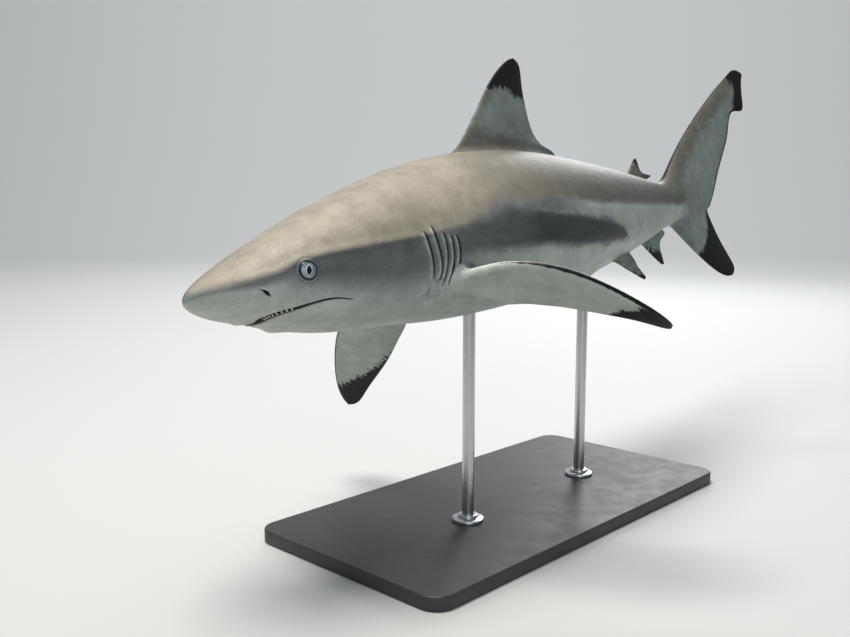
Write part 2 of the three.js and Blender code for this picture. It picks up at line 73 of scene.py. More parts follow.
# ------------------------------------------------------------------------------------------
# Body of the skin: snout, trunk, tail stock and the upper lobe of the tail fin are one closed
# tube of egg-shaped sections, the shell of the model. A section runs from a top to a bottom
# point; half is its half width, widest the share of the way down where that is, and the rounds
# are the curves' exponents. The tube closes over the last stretch of the lobe's tip.

MM = 0.001
SECTIONS = [
    # at, top at, top, bottom at, bottom, half, widest, round top, round bottom
    (0, 0, -5, 0, -5, 0, 0.45, 2, 2),
    (8, 8, 6, 8, -15, 18, 0.5, 2, 2.1),
    (42, 42, 25, 42, -31, 48, 0.52, 1.9, 2.5),
    (75, 75, 38.7, 75, -42.5, 61, 0.52, 2, 2.5),
    (105, 105, 50, 105, -54, 70, 0.52, 2.1, 2.2),
    (168, 168, 72, 168, -70, 80, 0.52, 2.2, 2.1),
    (259, 259, 96, 259, -80, 90, 0.52, 2.1, 2.1),
    (315, 315, 107, 315, -87, 93, 0.53, 2, 2.1),
    (434, 434, 117, 434, -93, 95, 0.54, 1.9, 2.1),
    (602, 602, 104, 602, -88, 85, 0.54, 1.9, 2.1),
    (728, 728, 85, 728, -74, 70, 0.54, 1.9, 2.1),
    (875, 875, 62.5, 875, -55, 48.5, 0.53, 1.9, 2),
    (966, 966, 46, 966, -40, 34, 0.5, 1.9, 1.9),
    (1029, 1019, 48, 1035, -35, 25, 0.47, 1.8, 1.45),
    (1071, 1057, 73, 1101, -33, 17.5, 0.38, 1.8, 1.45),
    (1120, 1102, 105, 1156, -20, 11, 0.3, 1.8, 1.45),
    (1190, 1177, 152, 1222.5, 51, 7.5, 0.28, 1.8, 1.45),
    (1260, 1253, 196, 1280, 120, 6, 0.28, 1.8, 1.45),
    (1302, 1296, 219, 1311, 157, 4.5, 0.3, 1.8, 1.45),
    (1330, 1321, 231.5, 1340, 157, 3.6, 0.35, 1.8, 1.45),
    (1361, 1345, 240, 1351.5, 189, 3, 0.4, 1.8, 1.45),
    (1379, 1363, 237, 1360, 216, 2.5, 0.45, 1.8, 1.45),
]
LOBE_FROM, LOBE_EDGE = 1000, 0.5
TAIL_TIP = 1380
TIP_CLOSES_FROM, TIP_CLOSES_OVER = 1364, 17


def natural_spline(knots, values):
    """A smooth curve through values at knots, as a function that takes arrays."""
    knots, values = np.asarray(knots, float), np.asarray(values, float)
    count, step = len(knots), np.diff(knots)
    system, right = np.eye(count), np.zeros(count)
    for i in range(1, count - 1):
        system[i, i - 1:i + 2] = step[i - 1], 2 * (step[i - 1] + step[i]), step[i]
        slopes = np.diff(values[i - 1:i + 2]) / step[i - 1:i + 1]
        right[i] = 6 * (slopes[1] - slopes[0])
    curve = np.linalg.solve(system, right)

    def at(q):
        i = np.clip(np.searchsorted(knots, q) - 1, 0, count - 2)
        a, b = (knots[i + 1] - q) / step[i], (q - knots[i]) / step[i]
        lift = ((a ** 3 - a) * curve[i] + (b ** 3 - b) * curve[i + 1]) * step[i] ** 2 / 6
        return a * values[i] + b * values[i + 1] + lift

    return at


section_columns = np.array(SECTIONS, float).T
section_fields = [
    natural_spline(np.sqrt(section_columns[0]), column) for column in section_columns[1:]
]


def body_points(station, angle):
    """Points of the body's surface. Angle 0 is the right side and 90 degrees the back."""
    station, angle = np.broadcast_arrays(np.asarray(station, float), np.asarray(angle, float))
    root = np.sqrt(np.clip(station, 0.01, None))
    top_x, top_z, low_x, low_z, half, widest, round_top, round_low = [
        field(root) for field in section_fields
    ]
    up, out = np.sin(angle), np.cos(angle)
    curve = np.where(up >= 0, round_top, round_low)
    rise = np.abs(up) ** (2 / curve)
    down = np.where(up >= 0, widest * (1 - rise), widest + (1 - widest) * rise)
    edge = np.where(station > LOBE_FROM, LOBE_EDGE, 0) * np.minimum(1, 6 * np.abs(out))
    side = np.sign(out) * (np.abs(out) ** (2 / curve) * np.maximum(half, 0) + edge)
    closing = np.clip((station - TIP_CLOSES_FROM) / TIP_CLOSES_OVER, 0, 1)
    close = np.sqrt(1 - 0.75 * closing ** 2)
    down = 0.5 + (down - 0.5) * close
    return np.stack([top_x + (low_x - top_x) * down, side, top_z + (low_z - top_z) * down], -1)


def half_width(station, height):
    """Half width of the body at a station and height, ahead of the tail fin."""
    root = np.sqrt(np.asarray(station, float))
    _, top, _, low, half, widest, round_top, round_low = [f(root) for f in section_fields]
    down = (height - top) / (low - top)
    away = np.where(down < widest, 1 - down / widest, (down - widest) / (1 - widest))
    curve = np.where(down < widest, round_top, round_low)
    return half * (1 - np.clip(away, 0, 1) ** curve) ** (1 / curve)


COLUMNS = 56
TOP, BOTTOM = COLUMNS // 4, 3 * COLUMNS // 4
# Station, distance from one row of the cage to the next.
ROW_STEPS = [
    (0.5, 2), (12, 4.5), (30, 7), (90, 8), (330, 9), (420, 12), (640, 12), (680, 9.5), (780, 13),
    (840, 13), (870, 9), (1345, 9), (1368, 5), (1380, 3),
]


def row_stations():
    """Stations of the rows of the skin's cage, closer together at the snout and gills."""
    places, steps = zip(*ROW_STEPS)
    rows = [places[0]]
    while rows[-1] < TAIL_TIP:
        rows.append(rows[-1] + float(np.interp(rows[-1], places, steps)))
    rows = np.array(rows)
    return places[0] + (rows - places[0]) * (TAIL_TIP - places[0]) / (rows[-1] - places[0])


rows = row_stations()
cage_station = np.repeat(rows[:, None], COLUMNS, 1)
cage_angle = np.repeat(np.arange(COLUMNS)[None] * 2 * np.pi / COLUMNS, len(rows), 0)

# A finer grid of the same tube, used to find where a point is from its surface.
FINE_ROWS, FINE_TURNS = 560, 192
fine_station = np.linspace(np.sqrt(0.5), np.sqrt(TAIL_TIP), FINE_ROWS) ** 2
fine_angle = np.linspace(0, 2 * np.pi, FINE_TURNS + 1)
fine_points = body_points(fine_station[:, None], fine_angle[None])
fine_row = FINE_TURNS + 1
fine_faces = [
    (i * fine_row + j, i * fine_row + j + 1, (i + 1) * fine_row + j + 1, (i + 1) * fine_row + j)
    for i in range(FINE_ROWS - 1) for j in range(FINE_TURNS)
]
flank_tree = BVHTree.FromPolygons([Vector(p) for p in fine_points.reshape(-1, 3)], fine_faces)


def height_above_skin(point):
    """How far a point is outside the body, and the nearest station and angle to it."""
    near, normal, face, _ = flank_tree.find_nearest(Vector(point))
    i, j = divmod(face, FINE_TURNS)
    outward = near - Vector(section_middle(fine_station[i]))
    sign = 1 if normal.dot(outward) > 0 else -1
    return (Vector(point) - near).dot(normal) * sign, fine_station[i], fine_angle[j]


def section_middle(station):
    """The point half way between a section's top and bottom."""
    top_x, top_z, low_x, low_z = [f(math.sqrt(station)) for f in section_fields[:4]]
    return ((top_x + low_x) / 2, 0, (top_z + low_z) / 2)


def station_and_angle(points, station, angle):
    """Refines (station, angle) until body_points meets each of the points."""
    station, angle = np.array(station, float), np.array(angle, float)
    for _ in range(8):
        at = body_points(station, angle)
        ds, da = 0.05 + 0.001 * station, 0.004
        along = (body_points(station + ds, angle) - at) / ds[:, None]
        round_ = (body_points(station, angle + da) - at) / da
        miss = points - at
        a, b, c = (along ** 2).sum(1), (along * round_).sum(1), (round_ ** 2).sum(1)
        u, v = (along * miss).sum(1), (round_ * miss).sum(1)
        det = a * c - b * b + 1e-9
        station = np.clip(station + (c * u - b * v) / det, 1, TAIL_TIP)
        angle = angle + np.clip((a * v - b * u) / det, -0.1, 0.1)
    return station, angle


# ------------------------------------------------------------------------------------------
# Fins of the skin: thin blades with a round front edge and a fine rear edge, in one piece with
# the body. An outline runs from the front of the root over the tip to the free rear corner and
# back to the root. Each fin grows out of a gap left in the body's cage.

FIN_WIDEST, FIN_LEAD_ROUND, FIN_TRAIL_ROUND, FIN_EDGE = 0.32, 2.0, 1.5, 0.5
FINS = {
    "first_dorsal": dict(
        outline=[(406, 101), (444, 130), (484, 167), (525, 207), (560, 232), (591, 243),
                 (604, 234), (603, 207), (605, 162), (624, 123), (663, 104), (615, 88)],
        tip=5, root_half=9, tip_half=1.7, lean=5.5, lean_from=112, fillet=7, rows=13, middle=TOP,
        columns=1),
    "second_dorsal": dict(
        outline=[(866, 49), (893, 65), (920, 82), (936, 89.5),
                 (940.5, 83), (949, 63.5), (980, 57), (921, 44)],
        tip=3, root_half=5, tip_half=1.2, lean=0, lean_from=0, fillet=3.5, rows=8, middle=TOP,
        columns=1),
    "anal": dict(
        outline=[(859, -41.5), (894, -67), (926, -90), (945, -99),
                 (947, -87), (952.5, -60), (980.5, -46), (934, -30)],
        tip=3, root_half=5, tip_half=1.2, lean=0, lean_from=0, fillet=3.5, rows=8, middle=BOTTOM,
        columns=1),
    "tail_lower": dict(
        outline=[(989, -22), (1048, -72), (1098, -114), (1148, -148), (1179, -154),
                 (1192, -144), (1186, -122), (1160, -66), (1147, -22), (1133, -2)],
        tip=4, root_half=6, tip_half=1.4, lean=0, lean_from=0, fillet=4, rows=10,
        middle=BOTTOM, columns=3),
}
PECTORAL = dict(
    outline=[(14, -17), (38, 61), (71, 137), (127, 203), (181, 241), (209, 243),
             (213, 229), (197, 194), (163, 125), (129, 70), (108, 37), (76, -6)],
    tip=5, span=245, root_half=10.5, tip_half=1.7, root=(291, 75.3, -26.9), fillet=6, rows=15,
    wider=1)
PELVIC = dict(
    outline=[(0, -10), (29, 26), (57, 53), (73, 62.5), (81, 57.5), (91, 36), (109.5, 12.5),
             (71.5, -11)],
    tip=3, span=77, root_half=5.5, tip_half=1.2, root=(675.6, 22.8, -53.5), fillet=3.5, rows=8,
    wider=0)
# How each paired fin hangs: side, incidence, droop at the root, droop at the tip, twist.
FINS["pectoral_left"] = dict(PECTORAL, hang=(-1, 49.7, -18.3, 36.7, -14.1))
FINS["pectoral_right"] = dict(PECTORAL, hang=(1, 35.1, -5.2, -0.6, 20.2))
FINS["pelvic_left"] = dict(PELVIC, hang=(-1, 5.2, 55.8, 54.8, 2.1))
FINS["pelvic_right"] = dict(PELVIC, hang=(1, 7.8, 35.1, 41.9, -0.7))
FIN_TIP_CROWD, FIN_LAST = 1.5, 0.992
UPRIGHT_SPAN = 130


def running_total(steps):
    """The sum of the steps up to each point of a line, from zero at its first point."""
    return np.concatenate([[0], np.cumsum(steps)])


def spacing(points):
    """The distance from each point of a line to the next."""
    return np.linalg.norm(np.diff(points, axis=0), axis=1)


def unit(vectors):
    """Rows of vectors, each brought to length one."""
    return vectors / np.linalg.norm(vectors, axis=1)[:, None]


def plane_curve(points):
    """A curve through points of the plane, paced by the square root of their spacing."""
    points = np.array(points, float)
    pace = running_total(np.sqrt(spacing(points)))
    return pace, natural_spline(pace, points[:, 0]), natural_spline(pace, points[:, 1])


def fin_points(fin, share, chord, face):
    """Points of a fin: share runs to the tip, chord from front to back, face is its side."""
    pace, across, outward = plane_curve(fin["outline"])
    lead = pace[fin["tip"]] * share
    trail = pace[-1] - (pace[-1] - pace[fin["tip"]]) * share
    back = across(lead) + (across(trail) - across(lead)) * chord
    out = outward(lead) + (outward(trail) - outward(lead)) * chord
    thick = fin["root_half"] + (fin["tip_half"] - fin["root_half"]) * share
    front = chord < FIN_WIDEST
    away = np.where(front, 1 - chord / FIN_WIDEST, (chord - FIN_WIDEST) / (1 - FIN_WIDEST))
    curve = np.where(front, FIN_LEAD_ROUND, FIN_TRAIL_ROUND)
    half = thick * (1 - np.clip(away, 0, 1) ** curve) ** (1 / curve)
    deep = face * (half + FIN_EDGE * np.minimum(1, 8 * np.sqrt(chord * (1 - chord) + 1e-9)))
    if "hang" not in fin:
        lean = math.tan(math.radians(fin["lean"]))
        return np.stack([back, deep - lean * (out - fin["lean_from"]), out], -1), back, out
    side, incidence, root_droop, tip_droop, twist = fin["hang"]
    root_droop, tip_droop = math.radians(root_droop), math.radians(tip_droop)
    along = np.clip(out / fin["span"], 0, 1)
    beyond = out - along * fin["span"]
    curl = (tip_droop - root_droop) / fin["span"]
    droop = root_droop + (tip_droop - root_droop) * along
    reach = (np.sin(droop) - math.sin(root_droop)) / curl + beyond * np.cos(droop)
    drop = (math.cos(root_droop) - np.cos(droop)) / curl + beyond * np.sin(droop)
    tilt = np.radians(incidence + twist * along)
    lift = deep * np.cos(tilt) - back * np.sin(tilt)
    x0, y0, z0 = fin["root"]
    return np.stack([
        x0 + back * np.cos(tilt) + deep * np.sin(tilt),
        side * (y0 + reach + lift * np.sin(droop)),
        z0 - drop + lift * np.cos(droop),
    ], -1), back, out


def ring_shares(count):
    """Chord share and face of a ring of points, from the front edge over the first face."""
    step = np.arange(count)
    turn = np.minimum(step, count - step) / (count / 2)
    chord = 0.4 * turn + 0.6 * (1 - np.cos(np.pi * turn)) / 2
    return chord, np.where(step <= count / 2, 1.0, -1.0)


def meeting_ring(fin, count):
    """Where each line of a fin, followed from inside the body, comes out through the flank."""
    chord, face = ring_shares(count)
    shares = np.linspace(0, 0.7, 141)
    grid, _, _ = fin_points(fin, shares[None], chord[:, None], face[:, None])
    found, points, guess = [], [], []
    for line in grid:
        heights = [height_above_skin(p) for p in line]
        above = np.array([h[0] for h in heights])
        inside = np.nonzero(above < 0)[0]
        k = inside[-1] if len(inside) else 0
        k = min(k, len(shares) - 2)
        part = 0.0 if above[k] >= 0 else above[k] / (above[k] - above[k + 1])
        found.append(shares[k] + part * (shares[k + 1] - shares[k]))
        points.append(line[k] + part * (line[k + 1] - line[k]))
        guess.append(heights[k][1:])
    return np.array(found), np.array(points), np.array(guess)


def spread_ring(points, guess, fillet):
    """Moves a ring on the flank outwards along the flank by the width of the fillet."""
    normals = []
    for p in points:
        _, normal, face, _ = flank_tree.find_nearest(Vector(p))
        outward = Vector(p) - Vector(section_middle(fine_station[face // FINE_TURNS]))
        normals.append(normal if normal.dot(outward) > 0 else -normal)
    normals = np.array(normals)
    tangent = np.roll(points, -1, 0) - np.roll(points, 1, 0)
    outward = unit(np.cross(tangent, normals))
    middle = points.mean(0)
    if ((points - middle) * outward).sum() < 0:
        outward = -outward
    for _ in range(2):
        outward = unit(outward + 0.5 * (np.roll(outward, 1, 0) + np.roll(outward, -1, 0)))
    return station_and_angle(points + outward * fillet, guess[:, 0], guess[:, 1])


def nearest_row(station):
    """Number of the cage's row that is nearest to a station."""
    return int(np.argmin(np.abs(rows - station)))


def block_path(fin, front, rear, angle):
    """The cage's gap for a fin: its rim, in the order of the fin's ring, and its columns."""
    if "hang" not in fin:
        middle, wide = fin["middle"], fin["columns"]
        right = -1 if middle == TOP else 1
        path = [(front, middle + right * k) for k in range(wide)]
        path += [(row, middle + right * wide) for row in range(front, rear)]
        path += [(rear, middle + right * k) for k in range(wide, 0, -1)]
        back = [(i, 2 * middle - j) for i, j in path[1:]] + [(rear, middle)]
        return path + back[::-1], (middle - wide, middle + wide)
    step = 2 * np.pi / COLUMNS
    start = int(round(angle[0] / step))
    end = int(round(angle[2] / step))
    turn = 1 if end > start else -1
    start, end = start - turn * fin["wider"], end + turn * fin["wider"]
    upper = [(row, start) for row in range(front, rear)]
    upper += [(rear, col) for col in range(start, end, turn)]
    lower = [(front, col) for col in range(start, end, turn)]
    lower += [(row, end) for row in range(front, rear)]
    return upper + [(rear, end)] + lower[:0:-1], (min(start, end), max(start, end))


moved = np.zeros((len(rows), COLUMNS, 2))
pinned = np.zeros((len(rows), COLUMNS), bool)
gaps = []
for name, fin in FINS.items():
    _, meet, guess = meeting_ring(fin, 4)
    station, angle = spread_ring(meet, guess, fin["fillet"])
    front, rear = nearest_row(station[0]), nearest_row(station[2])
    path, (low, high) = block_path(fin, front, rear, angle)
    count = len(path)
    fin["share"], meet, guess = meeting_ring(fin, count)
    station, angle = spread_ring(meet, guess, fin["fillet"])
    fin["path"] = [(i, j % COLUMNS) for i, j in path]
    for (i, j), s, a in zip(path, station, angle):
        home = j * 2 * np.pi / COLUMNS
        moved[i, j % COLUMNS] = s - rows[i], (a - home + np.pi) % (2 * np.pi) - np.pi
        pinned[i, j % COLUMNS] = True
    gaps.append((front, rear, low, high))

# The cage's other rows and columns give way round each rim, less and less away from it.
GIVE_WAY, GIVE_ROUNDS = 5, 300
near_rim = np.zeros(pinned.shape, bool)
for front, rear, low, high in gaps:
    for j in range(low - GIVE_WAY, high + GIVE_WAY + 1):
        near_rim[max(front - GIVE_WAY, 1):rear + GIVE_WAY + 1, j % COLUMNS] = True
for _ in range(GIVE_ROUNDS):
    spread = (np.roll(moved, 1, 1) + np.roll(moved, -1, 1)) / 4
    spread[1:-1] += (moved[2:] + moved[:-2]) / 4
    moved = np.where((near_rim & ~pinned)[..., None], spread, moved)
cage_station = np.clip(cage_station + moved[..., 0], 0.4, TAIL_TIP)
cage_angle = cage_angle + moved[..., 1]

# ------------------------------------------------------------------------------------------
# The cage itself: body quads outside the gaps, fin quads, a snout fan and strips that close the
# tips, laid out flat on one sheet with the body on its left and the fins on its right. Each
# vertex of a fin remembers its place in the fin: back, out and which face it is on.

SHEET_EDGE, SHEET_BODY_WIDE, SHEET_BODY_TALL = 0.01, 0.6, 0.98
SHEET_FINS_AT, SHEET_FINS_WIDE = 0.63, 0.36
SNOUT_POINT = (0.0, 0.0, -5.0)

cage_points = list(body_points(cage_station, cage_angle).reshape(-1, 3))
cage_place = [(0.0, 0.0, 0.0)] * len(cage_points)
cage_kind = [(0.0, 0.0, 0.0)] * len(cage_points)
cage_faces, cage_uvs = [], []

cut = set()
for front, rear, low, high in gaps:
    cut |= {(i, j % COLUMNS) for i in range(front, rear) for j in range(low, high)}
body_u = SHEET_BODY_WIDE / COLUMNS
body_v = SHEET_BODY_TALL / TAIL_TIP
for i in range(len(rows) - 1):
    for j in range(COLUMNS):
        if (i, j) in cut:
            continue
        k, m = (j + 1) % COLUMNS, (j - BOTTOM) % COLUMNS
        this_row, next_row = i * COLUMNS, (i + 1) * COLUMNS
        cage_faces.append((this_row + j, this_row + k, next_row + k, next_row + j))
        left, right = SHEET_EDGE + m * body_u, SHEET_EDGE + (m + 1) * body_u
        near, far = SHEET_EDGE + rows[i] * body_v, SHEET_EDGE + rows[i + 1] * body_v
        cage_uvs.append([(left, near), (right, near), (right, far), (left, far)])


def close_ring(ring, left, step, near, far):
    """Joins the two faces of a thin ring across its edge, from the front point to the back."""
    count = len(ring)
    for k in range(count // 2):
        corners = [ring[k], ring[k + 1], ring[(count - k - 1) % count], ring[(count - k) % count]]
        place = [(left + k * step, near), (left + (k + 1) * step, near),
                 (left + (k + 1) * step, far), (left + k * step, far)]
        kept = [c for c in range(4) if corners[c] not in corners[:c]]
        cage_faces.append(tuple(corners[c] for c in kept))
        cage_uvs.append([place[c] for c in kept])


snout = len(cage_points)
cage_points.append(np.array(SNOUT_POINT))
cage_place.append((0.0, 0.0, 0.0))
cage_kind.append((0.0, 0.0, 0.0))
for j in range(COLUMNS):
    left = SHEET_EDGE + (j - BOTTOM) % COLUMNS * body_u
    cage_faces.append((snout, (j + 1) % COLUMNS, j))
    cage_uvs.append([(left + body_u / 2, 0.009), (left + body_u, SHEET_EDGE), (left, SHEET_EDGE)])
last = (len(rows) - 1) * COLUMNS
tail_ring = [last + (TOP + k) % COLUMNS for k in range(COLUMNS)]
close_ring(tail_ring, SHEET_EDGE, body_u, 0.991, 0.995)

# Each fin's height on the sheet.
FIN_SHEET = {
    "pectoral_left": 0.17, "pectoral_right": 0.17, "first_dorsal": 0.17, "tail_lower": 0.15,
    "second_dorsal": 0.07, "anal": 0.07, "pelvic_left": 0.07, "pelvic_right": 0.07,
}
sheet_from = SHEET_EDGE
fin_rims = {}
for index, (name, fin) in enumerate(FINS.items(), 1):
    count = len(fin["path"])
    chord, face = ring_shares(count)
    paired = float("hang" in fin)
    below = [i * COLUMNS + j for i, j in fin["path"]]
    _, back, out = fin_points(fin, fin["share"], chord, face)
    for k, (b, o, f) in enumerate(zip(back, out, face)):
        cage_place[below[k]] = (b, o, f)
        cage_kind[below[k]] = (float(index), 1.0, paired)
    fin_rims[name] = np.array([cage_points[k] for k in below])
    first = fin["fillet"] / fin.get("span", UPRIGHT_SPAN)
    fin_u, fin_v = SHEET_FINS_WIDE / count, FIN_SHEET[name] * 0.9 / fin["rows"]
    for row in range(fin["rows"]):
        t = first + (FIN_LAST - first) * (1 - (1 - row / (fin["rows"] - 1)) ** FIN_TIP_CROWD)
        share = fin["share"] + (1 - fin["share"]) * t
        ring, back, out = fin_points(fin, share, chord, face)
        here = list(range(len(cage_points), len(cage_points) + count))
        cage_points += list(ring)
        cage_place += list(zip(back.tolist(), out.tolist(), face.tolist()))
        cage_kind += [(float(index), 1.0, paired)] * count
        near, far = sheet_from + row * fin_v, sheet_from + (row + 1) * fin_v
        for k in range(count):
            m = (k + 1) % count
            left, right = SHEET_FINS_AT + k * fin_u, SHEET_FINS_AT + (k + 1) * fin_u
            cage_faces.append((below[k], below[m], here[m], here[k]))
            cage_uvs.append([(left, near), (right, near), (right, far), (left, far)])
        below = here
    close_ring(below, SHEET_FINS_AT, fin_u, far, far + fin_v * 0.3)
    sheet_from += FIN_SHEET[name]

# What was inside the gaps is dropped.
used = sorted({k for face in cage_faces for k in face})
renumber = {old: new for new, old in enumerate(used)}
cage_faces = [tuple(renumber[k] for k in face) for face in cage_faces]
cage_points, cage_place, cage_kind = [
    np.array(values)[used] for values in (cage_points, cage_place, cage_kind)
]


def limit_points(points, faces):
    """Where the vertices of a cage end up once it is subdivided for ever."""
    across, along, ways = np.zeros_like(points), np.zeros_like(points), np.zeros(len(points))
    edges = set()
    for size in (3, 4):
        some = np.array([f for f in faces if len(f) == size])
        centres = points[some].mean(1)
        for k in range(size):
            np.add.at(across, some[:, k], centres)
            np.add.at(ways, some[:, k], 1)
            pairs = np.sort(some[:, [k, (k + 1) % size]], 1)
            edges |= set(map(tuple, pairs.tolist()))
    edges = np.array(sorted(edges))
    middles = points[edges].mean(1)
    np.add.at(along, edges[:, 0], middles)
    np.add.at(along, edges[:, 1], middles)
    n = ways[:, None]
    return (n - 3) / (n + 5) * points + 4 / (n * (n + 5)) * (along + across)


def store(data, name, values):
    """Keeps a number, or a vector, at every vertex of a mesh."""
    values = np.asarray(values).astype(np.float32)
    kind, field = ("FLOAT", "value") if values.ndim == 1 else ("FLOAT_VECTOR", "vector")
    data.attributes.new(name, kind, "POINT").data.foreach_set(field, values.ravel())


# The cage is moved until its rounded surface passes through the points wanted of it.
wanted_points = cage_points.copy()
for _ in range(4):
    cage_points += wanted_points - limit_points(cage_points, cage_faces)

mesh = bpy.data.meshes.new("skin")
mesh.from_pydata(cage_points.tolist(), [], cage_faces)
layer = mesh.uv_layers.new(name="OFBake")
layer.data.foreach_set("uv", np.array([uv for face in cage_uvs for uv in face]).ravel())
store(mesh, "fin_place", cage_place)
store(mesh, "fin_kind", cage_kind)
mesh.update()
skin = bpy.data.objects.new("skin", mesh)
bpy.context.scene.collection.objects.link(skin)
rounding = skin.modifiers.new("rounding", "SUBSURF")
rounding.levels = rounding.render_levels = 2
rounding.uv_smooth = "NONE"
depsgraph = bpy.context.evaluated_depsgraph_get()
rounded = bpy.data.meshes.new_from_object(
    skin.evaluated_get(depsgraph), preserve_all_data_layers=True, depsgraph=depsgraph
)
skin.modifiers.clear()
skin.data = rounded

# ------------------------------------------------------------------------------------------
# Head features of the skin: a parted mouth, nostrils, five gill slits a side and the lids round
# the eyes. The mesh is made finer round each, then pressed in or raised along the flank. Painted
# shadow darkens the inside of the mouth, the slits and the nostrils, and painted highlights and
# shade lie along the gill flaps and round the eyes.

EYE_X, EYE_Z, EYE_RADIUS, EYE_OPENING = 107.6, -3, 16, 10
SOCKET_DEEP, LID_RISE, LID_GROOVE = 7, 0.6, 0.35
MOUTH_DEEP, MOUTH_SHADOW, MOUTH_BELOW, MOUTH_REACH = 9.5, 4, -24, 48
UPPER_LIP, LOWER_LIP, LOWER_LIP_FRONT, CHIN_RISE = 1.1, 0.6, 1.6, 3.8
GILL_HALF, GILL_DEEP, GILL_FLAP, GILL_RECESS = 1.15, 4, 1.9, 1.7
NOSTRIL_DEEP, NOSTRIL_RIM = 4.5, 0.5
# The ridge from the snout over the eye to the gills: station, height.
BROW_LINE = [
    (15, -1), (50, -0.5), (80, 1), (102, 8.5), (136, 11), (197, 9.7), (257, 8.7), (330, 14),
]
BROW_RISE = 1.5
# Middle of the mouth's opening from the chin to the corner: station, out, height, half gap.
MOUTH_LINE = [
    (73, 0, -43, 4.8), (72.5, 11, -42.3, 5.2), (71.3, 22, -40.8, 5.9), (74, 31, -39.2, 5.8),
    (80, 39.8, -38.3, 4.7), (92, 48.9, -37.8, 3.5), (106, 56.6, -37.1, 2.4),
    (122, 62.3, -36.2, 1.7), (138, 65.3, -37.3, 1.1), (156, 64.8, -41.2, 0.6),
]
# Each gill slit from its upper to its lower end: station, height.
GILL_LINES = [
    [(257, 15), (261.5, -12), (264.5, -42)],
    [(269.7, 20.4), (274.7, -18), (276, -33), (272, -46)],
    [(284.6, 10), (284, -26), (279, -51)],
    [(294.5, 6), (293.7, -26), (289, -53)],
    [(302.8, 4.4), (302.8, -28), (296.5, -50)],
]
# The slot of a nostril: station, height, half gap.
NOSTRIL_LINE = [(57.2, -11.4, 0.4), (60.3, -13.2, 1.1), (63.2, -16, 1.9), (65.4, -18.8, 1.2)]


def flank_angle(x, y, z):
    """Angle round the body of a point on the surface, ahead of the tail fin."""
    root = np.sqrt(np.clip(x, 0.01, None))
    _, top, _, low, half, widest, round_top, round_low = [f(root) for f in section_fields]
    down = np.clip((z - top) / (low - top), 0, 1)
    above = down < widest
    away = np.where(above, 1 - down / widest, (down - widest) / (1 - widest))
    curve = np.where(above, round_top, round_low)
    out = np.sign(y) * np.clip(np.abs(y) / np.maximum(half, 0.1), 0, 1) ** (curve / 2)
    return np.arctan2(np.where(above, 1, -1) * away ** (curve / 2), out)


def on_flank(x, z, side):
    """Points of the flank at stations and heights. Side is -1 for the left."""
    x, z = np.asarray(x, float), np.asarray(z, float)
    return np.stack([x, side * half_width(x, z), z], -1)


def smooth(value, low=0.0, high=1.0):
    """Goes gently from 0 at low to 1 at high. Low may be the greater of the two."""
    share = np.clip((value - low) / (high - low), 0, 1)
    return share * share * (3 - 2 * share)


def bell(value, middle, width):
    """Is 1 at the middle and falls away to 0 on both sides."""
    return np.exp(-(((value - middle) / width) ** 2))


def dense(points, count):
    """Evenly spread points along a smooth curve through the given ones."""
    points = np.array(points, float)
    pace = running_total(spacing(points[:, :3]))
    at = np.linspace(0, pace[-1], count)
    return np.stack([natural_spline(pace, column)(at) for column in points.T], 1)


def nearest_on(line, points):
    """Index of the nearest point of a line, the offset from it and the line's direction."""
    best = np.empty(len(points), int)
    for some in np.array_split(np.arange(len(points)), max(1, len(points) // 4000)):
        gap = points[some, None, :] - line[None, :, :3]
        best[some] = (gap ** 2).sum(2).argmin(1)
    way = unit(np.gradient(line[:, :3], axis=0))
    return best, points - line[best, :3], way[best]


half_mouth = dense(MOUTH_LINE, 150)
mouth = np.concatenate([half_mouth[:0:-1] * (1, -1, 1, 1), half_mouth])
mouth[:, :3] = body_points(mouth[:, 0], flank_angle(mouth[:, 0], mouth[:, 1], mouth[:, 2]))
# Name, line, and how far from the line the mesh is made finer once and then twice.
features = [("mouth", mouth, 13, 7.5)]
for side in (-1, 1):
    for line in GILL_LINES:
        x, z = np.array(line).T
        gill = dense(np.c_[x, 0 * x, z], 60)
        features.append(("gill", on_flank(gill[:, 0], gill[:, 2], side), 5, 2.4))
    x, z, wide = np.array(NOSTRIL_LINE).T
    slot = dense(np.c_[x, 0 * x, z, wide], 40)
    slot = np.c_[on_flank(slot[:, 0], slot[:, 2], side), slot[:, 3]]
    features.append(("nostril", slot, 8, 6))
    features.append(("eye", on_flank([EYE_X], [EYE_Z], side), 17, 13))

bm = bmesh.new()
bm.from_mesh(skin.data)
for level in (0, 1):
    centres = np.array([tuple(face.calc_center_median()) for face in bm.faces])
    near = np.zeros(len(centres), bool)
    station, height = centres[:, 0], centres[:, 2]
    head = np.nonzero((station > 40) & (station < 320) & (np.abs(height) < 66))[0]
    for kind, line, wide, close in features:
        box_low, box_high = line[:, :3].min(0) - wide, line[:, :3].max(0) + wide
        some = head[((centres[head] > box_low) & (centres[head] < box_high)).all(1)]
        if kind == "eye":
            reach = np.linalg.norm(centres[some] - line[0], axis=1)
            near[some[(reach < (wide, close)[level]) & (reach > (0, 8)[level])]] = True
        else:
            _, offset, _ = nearest_on(line, centres[some])
            near[some[np.linalg.norm(offset, axis=1) < (wide, close)[level]]] = True
    bm.faces.ensure_lookup_table()
    edges = {edge for i in np.nonzero(near)[0] for edge in bm.faces[i].edges}
    bmesh.ops.subdivide_edges(bm, edges=list(edges), cuts=1, use_grid_fill=True)
bmesh.ops.recalc_face_normals(bm, faces=bm.faces)
bm.to_mesh(skin.data)
bm.free()
mesh = skin.data
count = len(mesh.vertices)


def read_vectors(source, field):
    """The vectors kept in a field of a mesh, one to a row."""
    values = np.empty(len(source) * 3, np.float32)
    source.foreach_get(field, values)
    return values.reshape(-1, 3).astype(float)


straight = read_vectors(mesh.vertices, "co")
place = read_vectors(mesh.attributes["fin_place"].data, "vector")
kind = read_vectors(mesh.attributes["fin_kind"].data, "vector")

